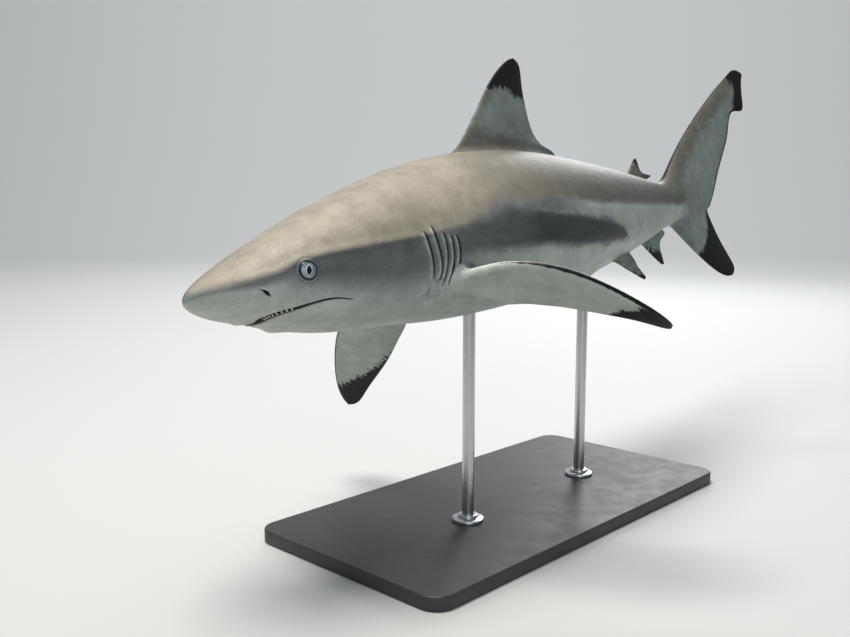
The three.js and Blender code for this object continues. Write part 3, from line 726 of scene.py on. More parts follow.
# The creases where fins grow out of the body are relaxed, as flesh would round them.
RELAX_ROUNDS = 24
pairs = np.empty(len(mesh.edges) * 2, np.int32)
mesh.edges.foreach_get("vertices", pairs)
pairs = pairs.reshape(-1, 2)
for name in ("pectoral_left", "pectoral_right", "tail_lower"):
    _, offset, _ = nearest_on(fin_rims[name], straight)
    ease = smooth(np.linalg.norm(offset, axis=1), 13, 4)
    near = np.nonzero(ease[pairs].max(1) > 0)[0]
    around = np.bincount(pairs[near].ravel(), minlength=count)
    for _ in range(RELAX_ROUNDS):
        total = np.zeros_like(straight)
        for a, b in ((0, 1), (1, 0)):
            for axis in range(3):
                total[:, axis] += np.bincount(
                    pairs[near, a], straight[pairs[near, b], axis], minlength=count
                )
        mean = total / np.maximum(around, 1)[:, None]
        straight += (mean - straight) * (0.5 * ease * (around > 2))[:, None]

# The head's points go back onto the exact sections, then the features move them.
head = np.nonzero((straight[:, 0] > 3) & (straight[:, 0] < 330) & (kind[:, 1] < 0.5))[0]
x, y, z = straight[head].T
angle = flank_angle(x, y, z)
rim = np.concatenate([fin_rims[name] for name in ("pectoral_left", "pectoral_right")])
_, offset, _ = nearest_on(rim, straight[head])
own = smooth(np.linalg.norm(offset, axis=1), 6, 16)[:, None]
points = straight[head] + (body_points(x, angle) - straight[head]) * own
along = body_points(x + 0.3, angle) - body_points(x - 0.3, angle)
around = body_points(x, angle + 0.004) - body_points(x, angle - 0.004)
normal = unit(np.cross(around, along))
normal *= np.sign((normal * (points * (0, 1, 1))).sum(1))[:, None]
lift = np.zeros(len(points))
# recess_shadow holds painted shadow inside the mouth, gill slits and nostrils.
recess_shadow, shade = np.zeros(count), np.zeros(count)
shift = np.zeros_like(points)


def snapped(away, edge, width):
    """How far to move points that lie next to an edge so that they lie on it."""
    miss = edge - away
    return np.where(np.abs(miss) < width, miss, 0)


for name, line, wide, _ in features:
    reach_out = MOUTH_REACH if name == "mouth" else wide + 10
    box_low, box_high = line[:, :3].min(0) - reach_out, line[:, :3].max(0) + reach_out
    some = np.nonzero(((points > box_low) & (points < box_high)).all(1))[0]
    if name == "mouth":
        some = some[points[some, 2] < MOUTH_BELOW]
    if name == "eye":
        reach = np.linalg.norm(points[some] - line[0], axis=1)
        lid = LID_RISE * bell(reach, 11.0, 1.0) - LID_GROOVE * bell(reach, 13.6, 1.0)
        lift[some] += np.where(reach < 10.2, -SOCKET_DEEP * smooth(10.4 - reach, 0, 0.7), lid)
        # Painted highlight on the lid's rim, painted shade in the groove round it and at the edge of
        # the opening.
        lid_highlight_and_shade = 0.22 * bell(reach, 10.9, 0.5) - 0.22 * bell(reach, 13.4, 0.8)
        shade[head[some]] += lid_highlight_and_shade - 0.6 * smooth(10.3 - reach, 0, 0.5)
        continue
    best, offset, way = nearest_on(line, points[some])
    across = np.cross(normal[some], way)
    side_of = (offset * across).sum(1)
    over = (offset * way).sum(1)
    if name == "mouth":
        # The across direction is turned so that it points to the snout.
        turn = np.sign(across[:, 2] + 0.8 * -across[:, 0])
        across, side_of = across * turn[:, None], side_of * turn
        gap = line[best, 3] * smooth(7 - np.abs(over), 0, 7)
        away = np.abs(side_of)
        move = snapped(away, gap, 0.3) * np.sign(side_of)
        shift[some] += across * move[:, None]
        away = away + np.abs(move) * np.sign(gap - away)
        away = np.where(np.abs(move) > 0, gap, away)
        pit = smooth(gap + 0.02 - away, 0, 0.6)
        far = np.maximum(away - gap, 0)
        lip_up = UPPER_LIP * bell(away - gap, 1.5, 2.6) * (side_of > 0)
        front = smooth(line[best, 0], 92, 76)
        lip_low = -(LOWER_LIP + LOWER_LIP_FRONT * front) * np.exp(-far / 4) * (side_of <= 0)
        lips = (lip_up + lip_low) * smooth(gap, 0.3, 1.6)
        floor_deep = -MOUTH_DEEP * pit * np.clip(gap / 2.2, 0.3, 1)
        lift[some] += np.where(pit > 0, floor_deep, lips)
        # Painted shadow darkens the inside of the mouth.
        recess_shadow[head[some]] = np.maximum(recess_shadow[head[some]], MOUTH_SHADOW * smooth(pit, 0, 0.35))
        blunt = smooth(line[best, 0], 112, 84)
        chin = smooth(gap, 0.6, 4.2) * (side_of < 0) * smooth(-points[some, 2], 24, 34)
        chin_from, chin_full = 1 + 11 * blunt, 10 + 19 * blunt
        lift[some] += CHIN_RISE * chin * smooth(far, chin_from, chin_full) * smooth(50 - far, 0, 30)
    elif name == "gill":
        ends = np.minimum(best, len(line) - 1 - best) / (len(line) - 1)
        strength = smooth(ends, 0, 0.16) * smooth(4 - np.abs(over), 0, 4)
        ahead = side_of * np.sign((across[:, 0] < 0) - 0.5)
        away = np.abs(ahead)
        pit = smooth(GILL_HALF - away, 0, 0.6)
        flap = GILL_FLAP * smooth(ahead, 8, 0.5) * (ahead > 0)
        recess = -GILL_RECESS * smooth(-ahead, 4.5, 0.3) * (ahead <= 0)
        lift[some] += strength * (flap + recess - GILL_DEEP * pit)
        # Painted shadow fills the slit; painted shade lies in and just behind it, and a painted
        # highlight on the flap's front edge.
        recess_shadow[head[some]] = np.maximum(recess_shadow[head[some]], strength * smooth(pit, 0, 0.5))
        shade[head[some]] += strength * (
            0.9 * bell(ahead, 3, 1.3) - 0.5 * smooth(-ahead, 6, 0.8) * (ahead < 0)
            - 1.2 * bell(ahead, -0.5, 1.9)
        )
    else:
        gap = line[best, 3] * smooth(2.5 - np.abs(over), 0, 2.5)
        away = np.abs(side_of)
        pit = smooth(gap - away, -0.2, 0.9)
        lift[some] += -NOSTRIL_DEEP * pit + NOSTRIL_RIM * bell(away - gap, 1, 1.5) * (gap > 0.4)
        # Painted shadow darkens the inside of the nostril.
        recess_shadow[head[some]] = np.maximum(recess_shadow[head[some]], pit)
brow = np.interp(x, *np.array(BROW_LINE).T)
lift += BROW_RISE * bell(z - brow, 1.5, 5) * smooth(x, 20, 60) * smooth(x, 300, 200)
straight[head] = points + (shift + normal * lift[:, None]) * own

# ------------------------------------------------------------------------------------------
# Markings of the skin, painted on, with painted light and shade among them. They are numbers at
# its vertices: how far each vertex is inside the dark flank, the brown back (along the head a
# painted border of lit top and shaded side) and the black of a fin's tip or edge, and how much it
# is shaded by markings, painted shade and painted highlights, how frayed its borders are and how
# much painted shade lies in its throat's creases.

# Lower border of the dark flank, then the borders of the pale band above it: station, height.
DARK_FROM = [
    (0, -5), (23, -5.5), (50, -9), (65, -9.5), (80, -9), (102, -14), (120, -20), (152, -30),
    (193, -40), (237, -48), (273, -47), (306, -34), (335, -22), (378, -26), (424, -28),
    (476, -33), (518, -38), (565, -43), (617, -46), (672, -47), (702, -44), (1400, -38),
]
DARK_SOFT = [
    (0, 3), (60, 4), (100, 10), (150, 18), (240, 22), (300, 16), (340, 9), (480, 7), (700, 5),
]
# How far the border wanders, as a share of its softness.
DARK_FRAY = [(0, 0.3), (100, 0.12), (300, 0.12), (420, 0.5), (520, 1), (700, 1)]
WEDGE_TOP = [
    (310, 3), (350, 13), (395, 27), (441, 21), (504, 8.5), (545, 2.5), (588, -6), (642, -14),
    (680, -25), (699, -36), (708, -46),
]
WEDGE_END, WEDGE_SLOPE = 708, 1.1
# Lower border of the brown back. Along the head, up to about station 330, it follows the ridge from
# the snout over the eye and is a sharp painted border of light and shade, the lit top against the
# shaded side; further back it is mostly the back's own colour.
BACK_LOW = [
    (0, 3), (23, 0), (50, -0.5), (80, 1), (102, 8), (136, 10.5), (197, 9.2), (257, 8.2), (330, 14),
    (400, 30), (477, 29), (534, 24.2), (609, 13.2), (766, 4.6), (960, -2), (1055, -6), (1400, -6),
]
BACK_SOFT = [
    (0, 4), (50, 4), (90, 2), (257, 2.5), (320, 7), (430, 13), (560, 8), (760, 3), (1400, 3),
]
# CHEEK_SHADOW is the strength of the painted shade under the ridge behind the eye.
CHEEK_SHADOW, FLAP_PALE, WEDGE_DARK, BACK_LINE_DARK, BACK_DARKER = 0.38, 0.3, 0.68, 0.3, 0.36
BAND_DARK = [(400, 0.3), (480, 0.3), (620, 0.22), (800, 0.12), (1000, 0)]
# Borders of the black on each fin, from its front edge to its rear edge, and the width of the
# dark lines along its front and rear edges.
BLACK = {
    "first_dorsal": (
        [(508, 198), (535, 200), (566, 195), (580, 187), (598, 182), (608, 175)], 0.0, 2.2),
    "second_dorsal": ([(918, 84), (932, 78), (946, 74), (952, 70)], 0.4, 0.8),
    "anal": ([(888, -65), (919, -71.5), (943, -72), (956, -66)], 0.4, 0.8),
    "tail_lower": ([(1082, -104), (1096, -92), (1117, -75), (1138, -42), (1142, -8)], 0.5, 2.5),
    "pectoral_left": ([(148, 224), (152, 203), (155, 180), (162, 150), (166, 130)], 2.8, 1.8),
    "pectoral_right": (
        [(160, 238), (169, 226), (167, 205), (165, 170), (163, 148), (155, 124), (146, 100)],
        3.4, 1.8),
    "pelvic_left": ([(56, 55), (72, 50), (92, 38)], 0.5, 1.0),
}
BLACK["pelvic_right"] = BLACK["pelvic_left"]
LOBE_BORDER = [
    (1294, 232), (1311, 227), (1317, 216), (1323, 203), (1321, 190), (1315, 178), (1312, 165),
    (1307, 153),
]
LOBE_TIP = (1365.0, 235.0)


def from_line(line, points):
    """Signed distance of points of the plane from a line, positive to the left of its way."""
    line = np.array(line, float)
    best = np.full(len(points), 1e9)
    signed = np.zeros(len(points))
    for a, b in zip(line[:-1], line[1:]):
        run = b - a
        share = np.clip(((points - a) @ run) / (run @ run), 0, 1)
        gap = points - a - share[:, None] * run
        far = np.linalg.norm(gap, axis=1)
        nearer = far < best
        best = np.where(nearer, far, best)
        signed = np.where(nearer, np.sign(run[0] * gap[:, 1] - run[1] * gap[:, 0]) * far, signed)
    return signed


x, y, z = straight.T
low_at, dark_soft, wedge_top, back_low, back_soft, fray, band_dark = [
    np.interp(x, *np.array(table).T)
    for table in (DARK_FROM, DARK_SOFT, WEDGE_TOP, BACK_LOW, BACK_SOFT, DARK_FRAY, BAND_DARK)
]
body = kind[:, 1] < 0.5
fray *= 1 - 0.65 * smooth(x, 380, 440) * smooth(z - wedge_top, 0, 5)
closed = z - low_at
wedge = np.minimum(closed, np.minimum(wedge_top - z, (WEDGE_END - x) * WEDGE_SLOPE))
split = np.maximum(wedge, z - back_low)
apart = smooth(x, 400, 470)
fading = np.where(z > wedge_top, 1.3 - 2.8 * smooth(x, 420, 680), -9)
dark = np.maximum((closed * (1 - apart) + split * apart) / dark_soft, fading)
# Share of the brown back: the back's own colour, and along the head the painted light of the lit top.
brown_and_lit_top = (z - back_low) / back_soft
# Painted shade darkens the cheek just below the ridge that runs back from the eye, the shaded
# side under the lit top of the head; the flaps of the gills are paler and the flank's wedge is
# dark. The band above the wedge is greyer in front, a thin dark line ends the back, and the back
# is darker from the first dorsal fin to the tail stock.
below = back_low - z
above = z - back_low
cheek_shadow = smooth(below, -2, 3) * smooth(below, 48, 8) * smooth(x, 60, 130) * smooth(x, 400, 310)
shade -= CHEEK_SHADOW * cheek_shadow * body
flaps = smooth(x, 236, 262) * smooth(x, 318, 298) * smooth(below, 0, 6) * smooth(below, 62, 38)
shade += FLAP_PALE * flaps * body
shade -= WEDGE_DARK * smooth(wedge, -3, 9) * smooth(x, 300, 400) * (0.65 + 0.35 * apart) * body
band = smooth(x, 400, 500) * smooth(z - wedge_top, -3, 3) * smooth(above, 9, 3) * body
shade -= band * band_dark
back_line = bell(above, 0, 3) * smooth(x, 480, 620) * smooth(x, 1060, 1000)
shade -= BACK_LINE_DARK * back_line * body
shade -= BACK_DARKER * smooth(x, 340, 520) * smooth(above, 0, 12) * smooth(x, 1150, 950) * body
# Where painted shade lines the skin's creases on the throat below the gills.
throat_crease_shade = bell(x, 272, 30) * bell(z, -50, 15) * body
tip, edge = np.full(count, -90.0), np.full(count, -30.0)
tone = np.zeros(count)
blade = np.c_[x, z, np.zeros(count)]
fin_share = kind[:, 1] * (1 - kind[:, 2])

fin_number = np.rint(kind[:, 0] / np.maximum(kind[:, 1], 0.02))
index = np.where(kind[:, 1] > 0.02, fin_number, 0).astype(int)
for number, (name, fin) in enumerate(FINS.items(), 1):
    some = np.nonzero(index == number)[0]
    spot = place[some, :2] / kind[some, 1:2]
    pace, across, outward = plane_curve(fin["outline"])
    tip_at = pace[fin["tip"]]
    front_edge = np.linspace(0, tip_at, 60)
    back_edge = np.linspace(tip_at, pace[-1], 60)
    front_gap = np.abs(from_line(np.c_[across(front_edge), outward(front_edge)], spot))
    back_gap = np.abs(from_line(np.c_[across(back_edge), outward(back_edge)], spot))
    border, front_line, back_line = BLACK[name]
    tip_spot = np.array([[float(across(tip_at)), float(outward(tip_at))]])
    weight = kind[some, 1]
    tip[some] = from_line(border, spot) * np.sign(from_line(border, tip_spot)) - 30 * (1 - weight)
    reach = np.abs(spot[:, 1] - outward(0.0)) / abs(float(outward(tip_at)) - float(outward(0.0)))
    along = smooth(reach, 0.22, 0.6)
    front_dark = front_line * along - front_gap - 3 * (along < 0.02)
    back_dark = back_line * (0.35 + 0.65 * along) - back_gap
    edge[some] = np.maximum(front_dark, back_dark) - 9 * (1 - weight)
    blade[some, :2], blade[some, 2] = spot, number * 1000
    if name == "first_dorsal":
        tone[some] = np.maximum(0.85 * smooth(-tip[some], 8, 95), 0.65 * smooth(front_gap, 26, 2))
    elif name == "second_dorsal":
        tone[some] = 0.8
    elif "hang" in fin:
        upper_face = place[some, 2] / kind[some, 1]
        small = fin["wider"] == 0
        blade[some, :2] = spot[:, ::-1]
        dark[some] += (upper_face * (0.7 if small else 3) - dark[some]) * smooth(weight)
        brown_and_lit_top[some] += (upper_face * (0.2 if small else 1) - 0.5 - brown_and_lit_top[some]) * smooth(weight)
        if not small:
            # A painted highlight along the front edge of the big paired fins, where light from above
            # would catch the rounded edge.
            lit_edge_highlight = smooth(front_gap, 6.5, 2.5) * smooth(reach, 0.62, 0.3)
            lit_edge_highlight = lit_edge_highlight * smooth(weight, 0.3, 0.9)
            dark[some] -= (dark[some] + 1) * lit_edge_highlight
            shade[some] += 0.22 * lit_edge_highlight
    else:
        tone[some] = 0.25 * smooth(front_gap, 25, 3)

# The upper lobe of the tail fin is part of the body's tube.
lobe = np.nonzero((x > LOBE_FROM) & (kind[:, 1] < 0.5))[0]
lobe_at = np.linspace(LOBE_FROM, TAIL_TIP, 160)
top_x, top_z, low_x, low_z = [f(np.sqrt(lobe_at)) for f in section_fields[:4]]
spot = np.c_[x[lobe], z[lobe]]
front_gap = np.abs(from_line(np.c_[top_x, top_z], spot))
back_gap = np.abs(from_line(np.c_[low_x, low_z], spot))
tip_side = np.sign(from_line(LOBE_BORDER, np.array([LOBE_TIP])))
tip[lobe] = np.maximum(tip[lobe], from_line(LOBE_BORDER, spot) * tip_side)
edge[lobe] = np.maximum(0.8 - front_gap, 3.6 * smooth(x[lobe], 1080, 1200) + 0.8 - back_gap)
tone[lobe] = np.maximum(smooth(front_gap, 52, 6), 0.5 * smooth(back_gap, 16, 3))
fin_share = np.maximum(fin_share, smooth(x, 1010, 1075) * (kind[:, 1] < 0.98))
for name, values in (("dark", dark), ("brown_and_lit_top", brown_and_lit_top), ("tip", tip), ("edge", edge), ("tone", tone),
                     ("fin", fin_share), ("recess_shadow", recess_shadow), ("shade", shade), ("fray", fray),
                     ("throat_crease_shade", throat_crease_shade), ("straight", straight * MM), ("blade", blade * MM)):
    store(mesh, name, values)
for name in ("fin_place", "fin_kind"):
    mesh.attributes.remove(mesh.attributes[name])

# ------------------------------------------------------------------------------------------
# Pose of the animal: the spine's bend, then bank and pitch, then its height on the stand. The
# spine's turn to the right, in degrees, is given at stations; the pivot is the station about
# which the animal is banked and pitched.

SPINE_AT = [0, 280, 560, 840, 1120, 1400]
SPINE_TURN = [-4.3, -2.7, 2.0, 7.7, -2.7, -13.7]
SPINE_STEP = 5
PIVOT, RIDE_HEIGHT, NOSE_DOWN, BANK = 490, 390, 4.8, 15.1
BASE_X = 15

heading = natural_spline(SPINE_AT, np.radians(SPINE_TURN))
spine_at = np.arange(-40, 1441, float(SPINE_STEP))
spine_turn = heading(np.clip(spine_at[:-1] + SPINE_STEP / 2, 0, SPINE_AT[-1]))
spine_x = running_total(SPINE_STEP * np.cos(spine_turn))
spine_y = running_total(SPINE_STEP * np.sin(spine_turn))
spine_x -= np.interp(PIVOT, spine_at, spine_x)
spine_y -= np.interp(PIVOT, spine_at, spine_y)
base_low, base_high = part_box("stand_base")
attitude = (
    Matrix.Translation((
        (base_low.x + base_high.x) / 2 - BASE_X * MM,
        (base_low.y + base_high.y) / 2,
        RIDE_HEIGHT * MM,
    ))
    @ Matrix.Rotation(math.radians(-NOSE_DOWN), 4, "Y")
    @ Matrix.Rotation(math.radians(-BANK), 4, "X")
    @ Matrix.Scale(MM, 4)
)


def posed(points):
    """Points of the straight animal in millimetres, put in its pose in metres."""
    points = np.asarray(points, float).reshape(-1, 3)
    turn = heading(np.clip(points[:, 0], 0, SPINE_AT[-1]))
    bent = np.stack([
        np.interp(points[:, 0], spine_at, spine_x) - points[:, 1] * np.sin(turn),
        np.interp(points[:, 0], spine_at, spine_y) + points[:, 1] * np.cos(turn),
        points[:, 2],
        np.ones(len(points)),
    ])
    return (np.array(attitude) @ bent)[:3].T


mesh.vertices.foreach_set("co", posed(straight).astype(np.float32).ravel())
mesh.polygons.foreach_set("use_smooth", np.ones(len(mesh.polygons), bool))
mesh.update()
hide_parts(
    "head", "lower_jaw", "trunk", "tail", "caudal_fin_upper", "caudal_fin_lower",
    "first_dorsal_fin", "second_dorsal_fin", "anal_fin", "pectoral_fin_left",
    "pectoral_fin_right", "pelvic_fin_left", "pelvic_fin_right",
)
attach(skin, "root")

# ------------------------------------------------------------------------------------------
# Skin material: satin, grey-brown over the back, off-white below, with black fin tips whose
# borders are ragged. Painted light and shade are mixed into its colour as well: the lit top and
# shaded cheek of the head, painted shadow in the mouth, slits and nostrils, and painted shade in
# the throat's creases. All its patterns follow the straight animal, so they bend with it.


class Nodes:
    """A material and short ways to add nodes to it."""

    def __init__(self, name):
        self.material = bpy.data.materials.new(name)
        self.material.use_nodes = True
        self.tree = self.material.node_tree
        self.shader = self.tree.nodes["Principled BSDF"]

    def link(self, source, socket):
        self.tree.links.new(source, socket)

    def add(self, kind, inputs, **settings):
        node = self.tree.nodes.new(kind)
        for name, value in settings.items():
            setattr(node, name, value)
        for name, value in inputs.items():
            if isinstance(value, bpy.types.NodeSocket):
                self.link(value, node.inputs[name])
            else:
                node.inputs[name].default_value = value
        return node

    def read(self, name):
        node = self.add("ShaderNodeAttribute", {}, attribute_name=name)
        return node.outputs["Fac"]

    def place(self, name="straight"):
        node = self.add("ShaderNodeAttribute", {}, attribute_name=name)
        return node.outputs["Vector"]

    def noise(self, vector, scale, detail=3.0, roughness=0.5, stretch=(1, 1, 1)):
        if stretch != (1, 1, 1):
            inputs = {0: vector, 1: stretch}
            vector = self.add("ShaderNodeVectorMath", inputs, operation="MULTIPLY").outputs[0]
        inputs = {"Vector": vector, "Scale": scale, "Detail": detail, "Roughness": roughness}
        return self.add("ShaderNodeTexNoise", inputs).outputs["Fac"]

    def math(self, operation, a, b=0.0):
        return self.add("ShaderNodeMath", {0: a, 1: b}, operation=operation).outputs[0]

    def ramp(self, value, low, high, out_low=0.0, out_high=1.0):
        inputs = {
            "Value": value, "From Min": low, "From Max": high, "To Min": out_low, "To Max": out_high,
        }
        node = self.add("ShaderNodeMapRange", inputs, interpolation_type="SMOOTHSTEP")
        return node.outputs["Result"]

    def mix(self, share, a, b):
        node = self.add("ShaderNodeMix", {}, data_type="RGBA")
        for socket, value in ((0, share), (6, a), (7, b)):
            if isinstance(value, bpy.types.NodeSocket):
                self.link(value, node.inputs[socket])
            elif socket:
                node.inputs[socket].default_value = (*value, 1)
            else:
                node.inputs[socket].default_value = value
        return node.outputs[2]

    def bump(self, height, distance, strength=1.0, normal=None):
        inputs = {"Height": height, "Distance": distance, "Strength": strength}
        if normal is not None:
            inputs["Normal"] = normal
        return self.add("ShaderNodeBump", inputs).outputs["Normal"]


BELLY, BELLY_SHADE = (0.44, 0.48, 0.435), (0.37, 0.41, 0.37)
FLANK_GREY, FLANK_PALE = (0.135, 0.152, 0.152), (0.185, 0.21, 0.21)
BACK_BROWN, BACK_DARK = (0.32, 0.29, 0.235), (0.225, 0.208, 0.17)
BACK_REAR = (0.118, 0.122, 0.108)
FIN_PALE, FIN_DARK = (0.205, 0.242, 0.236), (0.10, 0.10, 0.082)
FIN_BLACK = (0.005, 0.005, 0.006)
# Colour of the painted shadow inside the mouth, gill slits and nostrils.
RECESS_SHADOW_COLOUR = (0.020, 0.012, 0.010)

paint = Nodes("shark_skin")
where, blade_at = paint.place(), paint.place("blade")
broad = paint.noise(where, 9, 4, 0.55)
streak = paint.noise(where, 60, 4, 0.6, (0.35, 1, 1))
fine = paint.noise(where, 420, 3, 0.6)
speck = paint.noise(where, 1500, 2, 0.5)
coarse_rags = paint.ramp(streak, 0.3, 0.7, -0.8, 0.8)
ragged = paint.math("ADD", coarse_rags, paint.ramp(fine, 0.3, 0.7, -0.5, 0.5))
ragged = paint.math("MULTIPLY", ragged, paint.read("fray"))
dark_share = paint.ramp(paint.math("ADD", paint.read("dark"), ragged), -1.0, 1.1)
# The brown back over the grey flank; along the head their sharp border is painted light and shade.
brown_and_lit_top_at = paint.math("ADD", paint.read("brown_and_lit_top"), paint.ramp(broad, 0.3, 0.7, -0.5, 0.5))
brown_and_lit_top_share = paint.ramp(brown_and_lit_top_at, -0.8, 1.2)
belly = paint.mix(paint.ramp(broad, 0.3, 0.7), BELLY_SHADE, BELLY)
flank = paint.mix(paint.ramp(streak, 0.25, 0.75), FLANK_GREY, FLANK_PALE)
station = paint.add("ShaderNodeSeparateXYZ", {"Vector": where}).outputs["X"]
back = paint.mix(paint.ramp(broad, 0.3, 0.7), BACK_DARK, BACK_BROWN)
back = paint.mix(paint.ramp(station, 0.28, 0.74), back, BACK_REAR)
body = paint.mix(dark_share, belly, paint.mix(brown_and_lit_top_share, flank, back))
tone = paint.math("ADD", paint.read("tone"), paint.ramp(streak, 0.3, 0.7, -0.18, 0.18))
body = paint.mix(paint.read("fin"), body, paint.mix(paint.ramp(tone, 0, 1), FIN_PALE, FIN_DARK))
brush = paint.noise(blade_at, 300, 3, 0.6, (1, 0.12, 1))
tip_at = paint.math("ADD", paint.read("tip"), paint.ramp(brush, 0.25, 0.75, -8, 7))
tip_at = paint.math("ADD", tip_at, paint.ramp(fine, 0.3, 0.7, -1.5, 1.5))
edge_rags = paint.ramp(paint.noise(blade_at, 150, 2), 0.35, 0.65, -0.4, 0.4)
edge_at = paint.math("ADD", paint.read("edge"), edge_rags)
edge_share = paint.ramp(edge_at, -0.35, 0.35)
black_share = paint.math("MAXIMUM", paint.ramp(tip_at, -1.2, 1.2), edge_share)
body = paint.mix(black_share, body, FIN_BLACK)


mottle = paint.noise(where, 45, 5, 0.65)
mottling = paint.ramp(mottle, 0.3, 0.7, 0.86, 1.1)
speckle_and_shade = paint.math("MULTIPLY", paint.ramp(speck, 0.3, 0.7, 0.8, 1.12), mottling)
# Painted shade in the throat's creases: fine dark stretched lines that darken the colour.
crease_shade = paint.noise(where, 420, 2, 0.5, (1, 0.22, 0.18))
crease_shade = paint.math("MULTIPLY", paint.ramp(crease_shade, 0.52, 0.62), paint.read("throat_crease_shade"))
speckle_and_shade = paint.math("MULTIPLY", speckle_and_shade, paint.ramp(crease_shade, 0, 1, 1, 0.5))
# Pores of the head, alike on both sides: place in metres, radius.
PORES = [
    (0.0782, 0.0631, -0.0061, 0.0011), (0.040, 0.045, -0.009, 0.0007),
    (0.047, 0.047, -0.012, 0.0006), (0.051, 0.048, -0.0155, 0.0007),
    (0.044, 0.044, -0.0165, 0.0005), (0.057, 0.052, -0.020, 0.0005),
]
mirrored = paint.add("ShaderNodeVectorMath", {0: where}, operation="ABSOLUTE").outputs[0]
for px, py, pz, radius in PORES:
    apart_at = paint.add("ShaderNodeVectorMath", {0: mirrored, 1: (px, py, -pz)}, operation="DISTANCE")
    dot = paint.ramp(apart_at.outputs["Value"], radius * 0.6, radius * 1.5, 0.3, 1)
    speckle_and_shade = paint.math("MULTIPLY", speckle_and_shade, dot)
rays = paint.ramp(paint.noise(blade_at, 240, 2, 0.5, (1, 0.05, 1)), 0.3, 0.7, -0.1, 0.08)
rays = paint.math("MULTIPLY", rays, paint.read("fin"))
speckle_and_shade = paint.math("MULTIPLY", speckle_and_shade, paint.math("ADD", rays, 1.0))
# The shade attribute, markings together with painted shade and highlights, scales the colour with the
# speckle; grain here is that product.
grain = paint.math("MULTIPLY", speckle_and_shade, paint.math("ADD", paint.read("shade"), 1.0))
mottled_and_shaded = paint.add("ShaderNodeVectorMath", {0: body, 1: (1, 1, 1)}, operation="SCALE")
paint.link(grain, mottled_and_shaded.inputs["Scale"])
# Painted shadow inside the mouth, gill slits and nostrils is mixed in last.
coloured = paint.mix(paint.read("recess_shadow"), mottled_and_shaded.outputs[0], RECESS_SHADOW_COLOUR)
paint.link(coloured, paint.shader.inputs["Base Color"])
rough = paint.ramp(fine, 0.3, 0.7, 0.40, 0.56)
paint.link(rough, paint.shader.inputs["Roughness"])
paint.shader.inputs["Specular IOR Level"].default_value = 0.2
denticles = paint.noise(where, 1300, 2, 0.5, (0.45, 1, 1))
relief = paint.bump(denticles, 0.00016)
relief = paint.bump(paint.noise(where, 130, 3, 0.5, (0.5, 1, 1)), 0.0006, 0.5, relief)
paint.link(relief, paint.shader.inputs["Normal"])
skin.data.materials.clear()
skin.data.materials.append(paint.material)

# ------------------------------------------------------------------------------------------
# Eyes: smooth clear-coated balls sunk in the lids. The iris is blue-grey, darker at its top and
# rim and pale round the pupil, a pointed slit whose top leans back by some degrees.

PUPIL_LEAN = 16
EYE_SUNK = math.sqrt(EYE_RADIUS ** 2 - EYE_OPENING ** 2)
IRIS_TOP, IRIS_LOW, IRIS_PALE = (0.115, 0.175, 0.215), (0.26, 0.34, 0.34), (0.58, 0.66, 0.62)
IRIS_RIM, PUPIL = (0.010, 0.022, 0.030), (0.002, 0.002, 0.002)

iris = Nodes("shark_eye")
parts = iris.add("ShaderNodeSeparateXYZ", {"Vector": iris.place("eye_place")}).outputs
ahead, upright = parts["X"], parts["Y"]


def spindle(half_wide, half_tall):
    """1 on the rim of an upright pointed spindle about the middle of the iris."""
    wide = iris.math("POWER", iris.math("ABSOLUTE", iris.math("DIVIDE", ahead, half_wide)), 1.2)
    tall = iris.math("POWER", iris.math("ABSOLUTE", iris.math("DIVIDE", upright, half_tall)), 1.6)
    return iris.math("ADD", wide, tall)


squares = iris.math("ADD", iris.math("POWER", ahead, 2), iris.math("POWER", upright, 2))
radius_at = iris.math("SQRT", squares)
turn_at = iris.math("ARCTAN2", upright, ahead)
ray = iris.add("ShaderNodeCombineXYZ", {
    "X": iris.math("MULTIPLY", turn_at, 3.0), "Y": iris.math("MULTIPLY", radius_at, 0.15),
})
rays = iris.noise(ray.outputs[0], 3.2, 4, 0.6)
slope = iris.math("ADD", iris.math("MULTIPLY", upright, -1.0), iris.math("MULTIPLY", ahead, 0.4))
slope = iris.math("ADD", slope, iris.ramp(rays, 0.3, 0.7, -2, 2))
colour = iris.mix(iris.ramp(slope, -6, 7), IRIS_TOP, IRIS_LOW)
colour = iris.mix(iris.ramp(spindle(3.6, 6.1), 1.08, 0.94), colour, IRIS_PALE)
colour = iris.mix(iris.ramp(spindle(2.9, 5.2), 1.06, 0.97), colour, PUPIL)
colour = iris.mix(iris.ramp(radius_at, 7.5, 8.3), colour, IRIS_RIM)
iris.link(colour, iris.shader.inputs["Base Color"])
iris.shader.inputs["Roughness"].default_value = 0.3
iris.shader.inputs["Specular IOR Level"].default_value = 0.2
iris.shader.inputs["Coat Weight"].default_value = 0.35
iris.shader.inputs["Coat Roughness"].default_value = 0.04


def flank_frame(x, z, side):
    """A point of the flank, with its outward, forward and upward directions."""
    angle = flank_angle(x, side * half_width(x, z), z)
    at = body_points(x, angle)
    ahead = body_points(x - 0.5, angle) - at
    ahead /= np.linalg.norm(ahead)
    outward = np.cross(ahead, body_points(x, angle + 0.01) - at)
    outward *= np.sign(outward[1]) * side / np.linalg.norm(outward)
    up = np.cross(outward, ahead)
    return at, outward, ahead, up * np.sign(up[2])


def add_object(name, points, faces, material):
    """Puts a mesh of smooth faces in the scene."""
    data = bpy.data.meshes.new(name)
    data.from_pydata([tuple(p) for p in points], [], faces)
    data.polygons.foreach_set("use_smooth", np.ones(len(data.polygons), bool))
    data.materials.append(material)
    data.update()
    made = bpy.data.objects.new(name, data)
    bpy.context.scene.collection.objects.link(made)
    return made


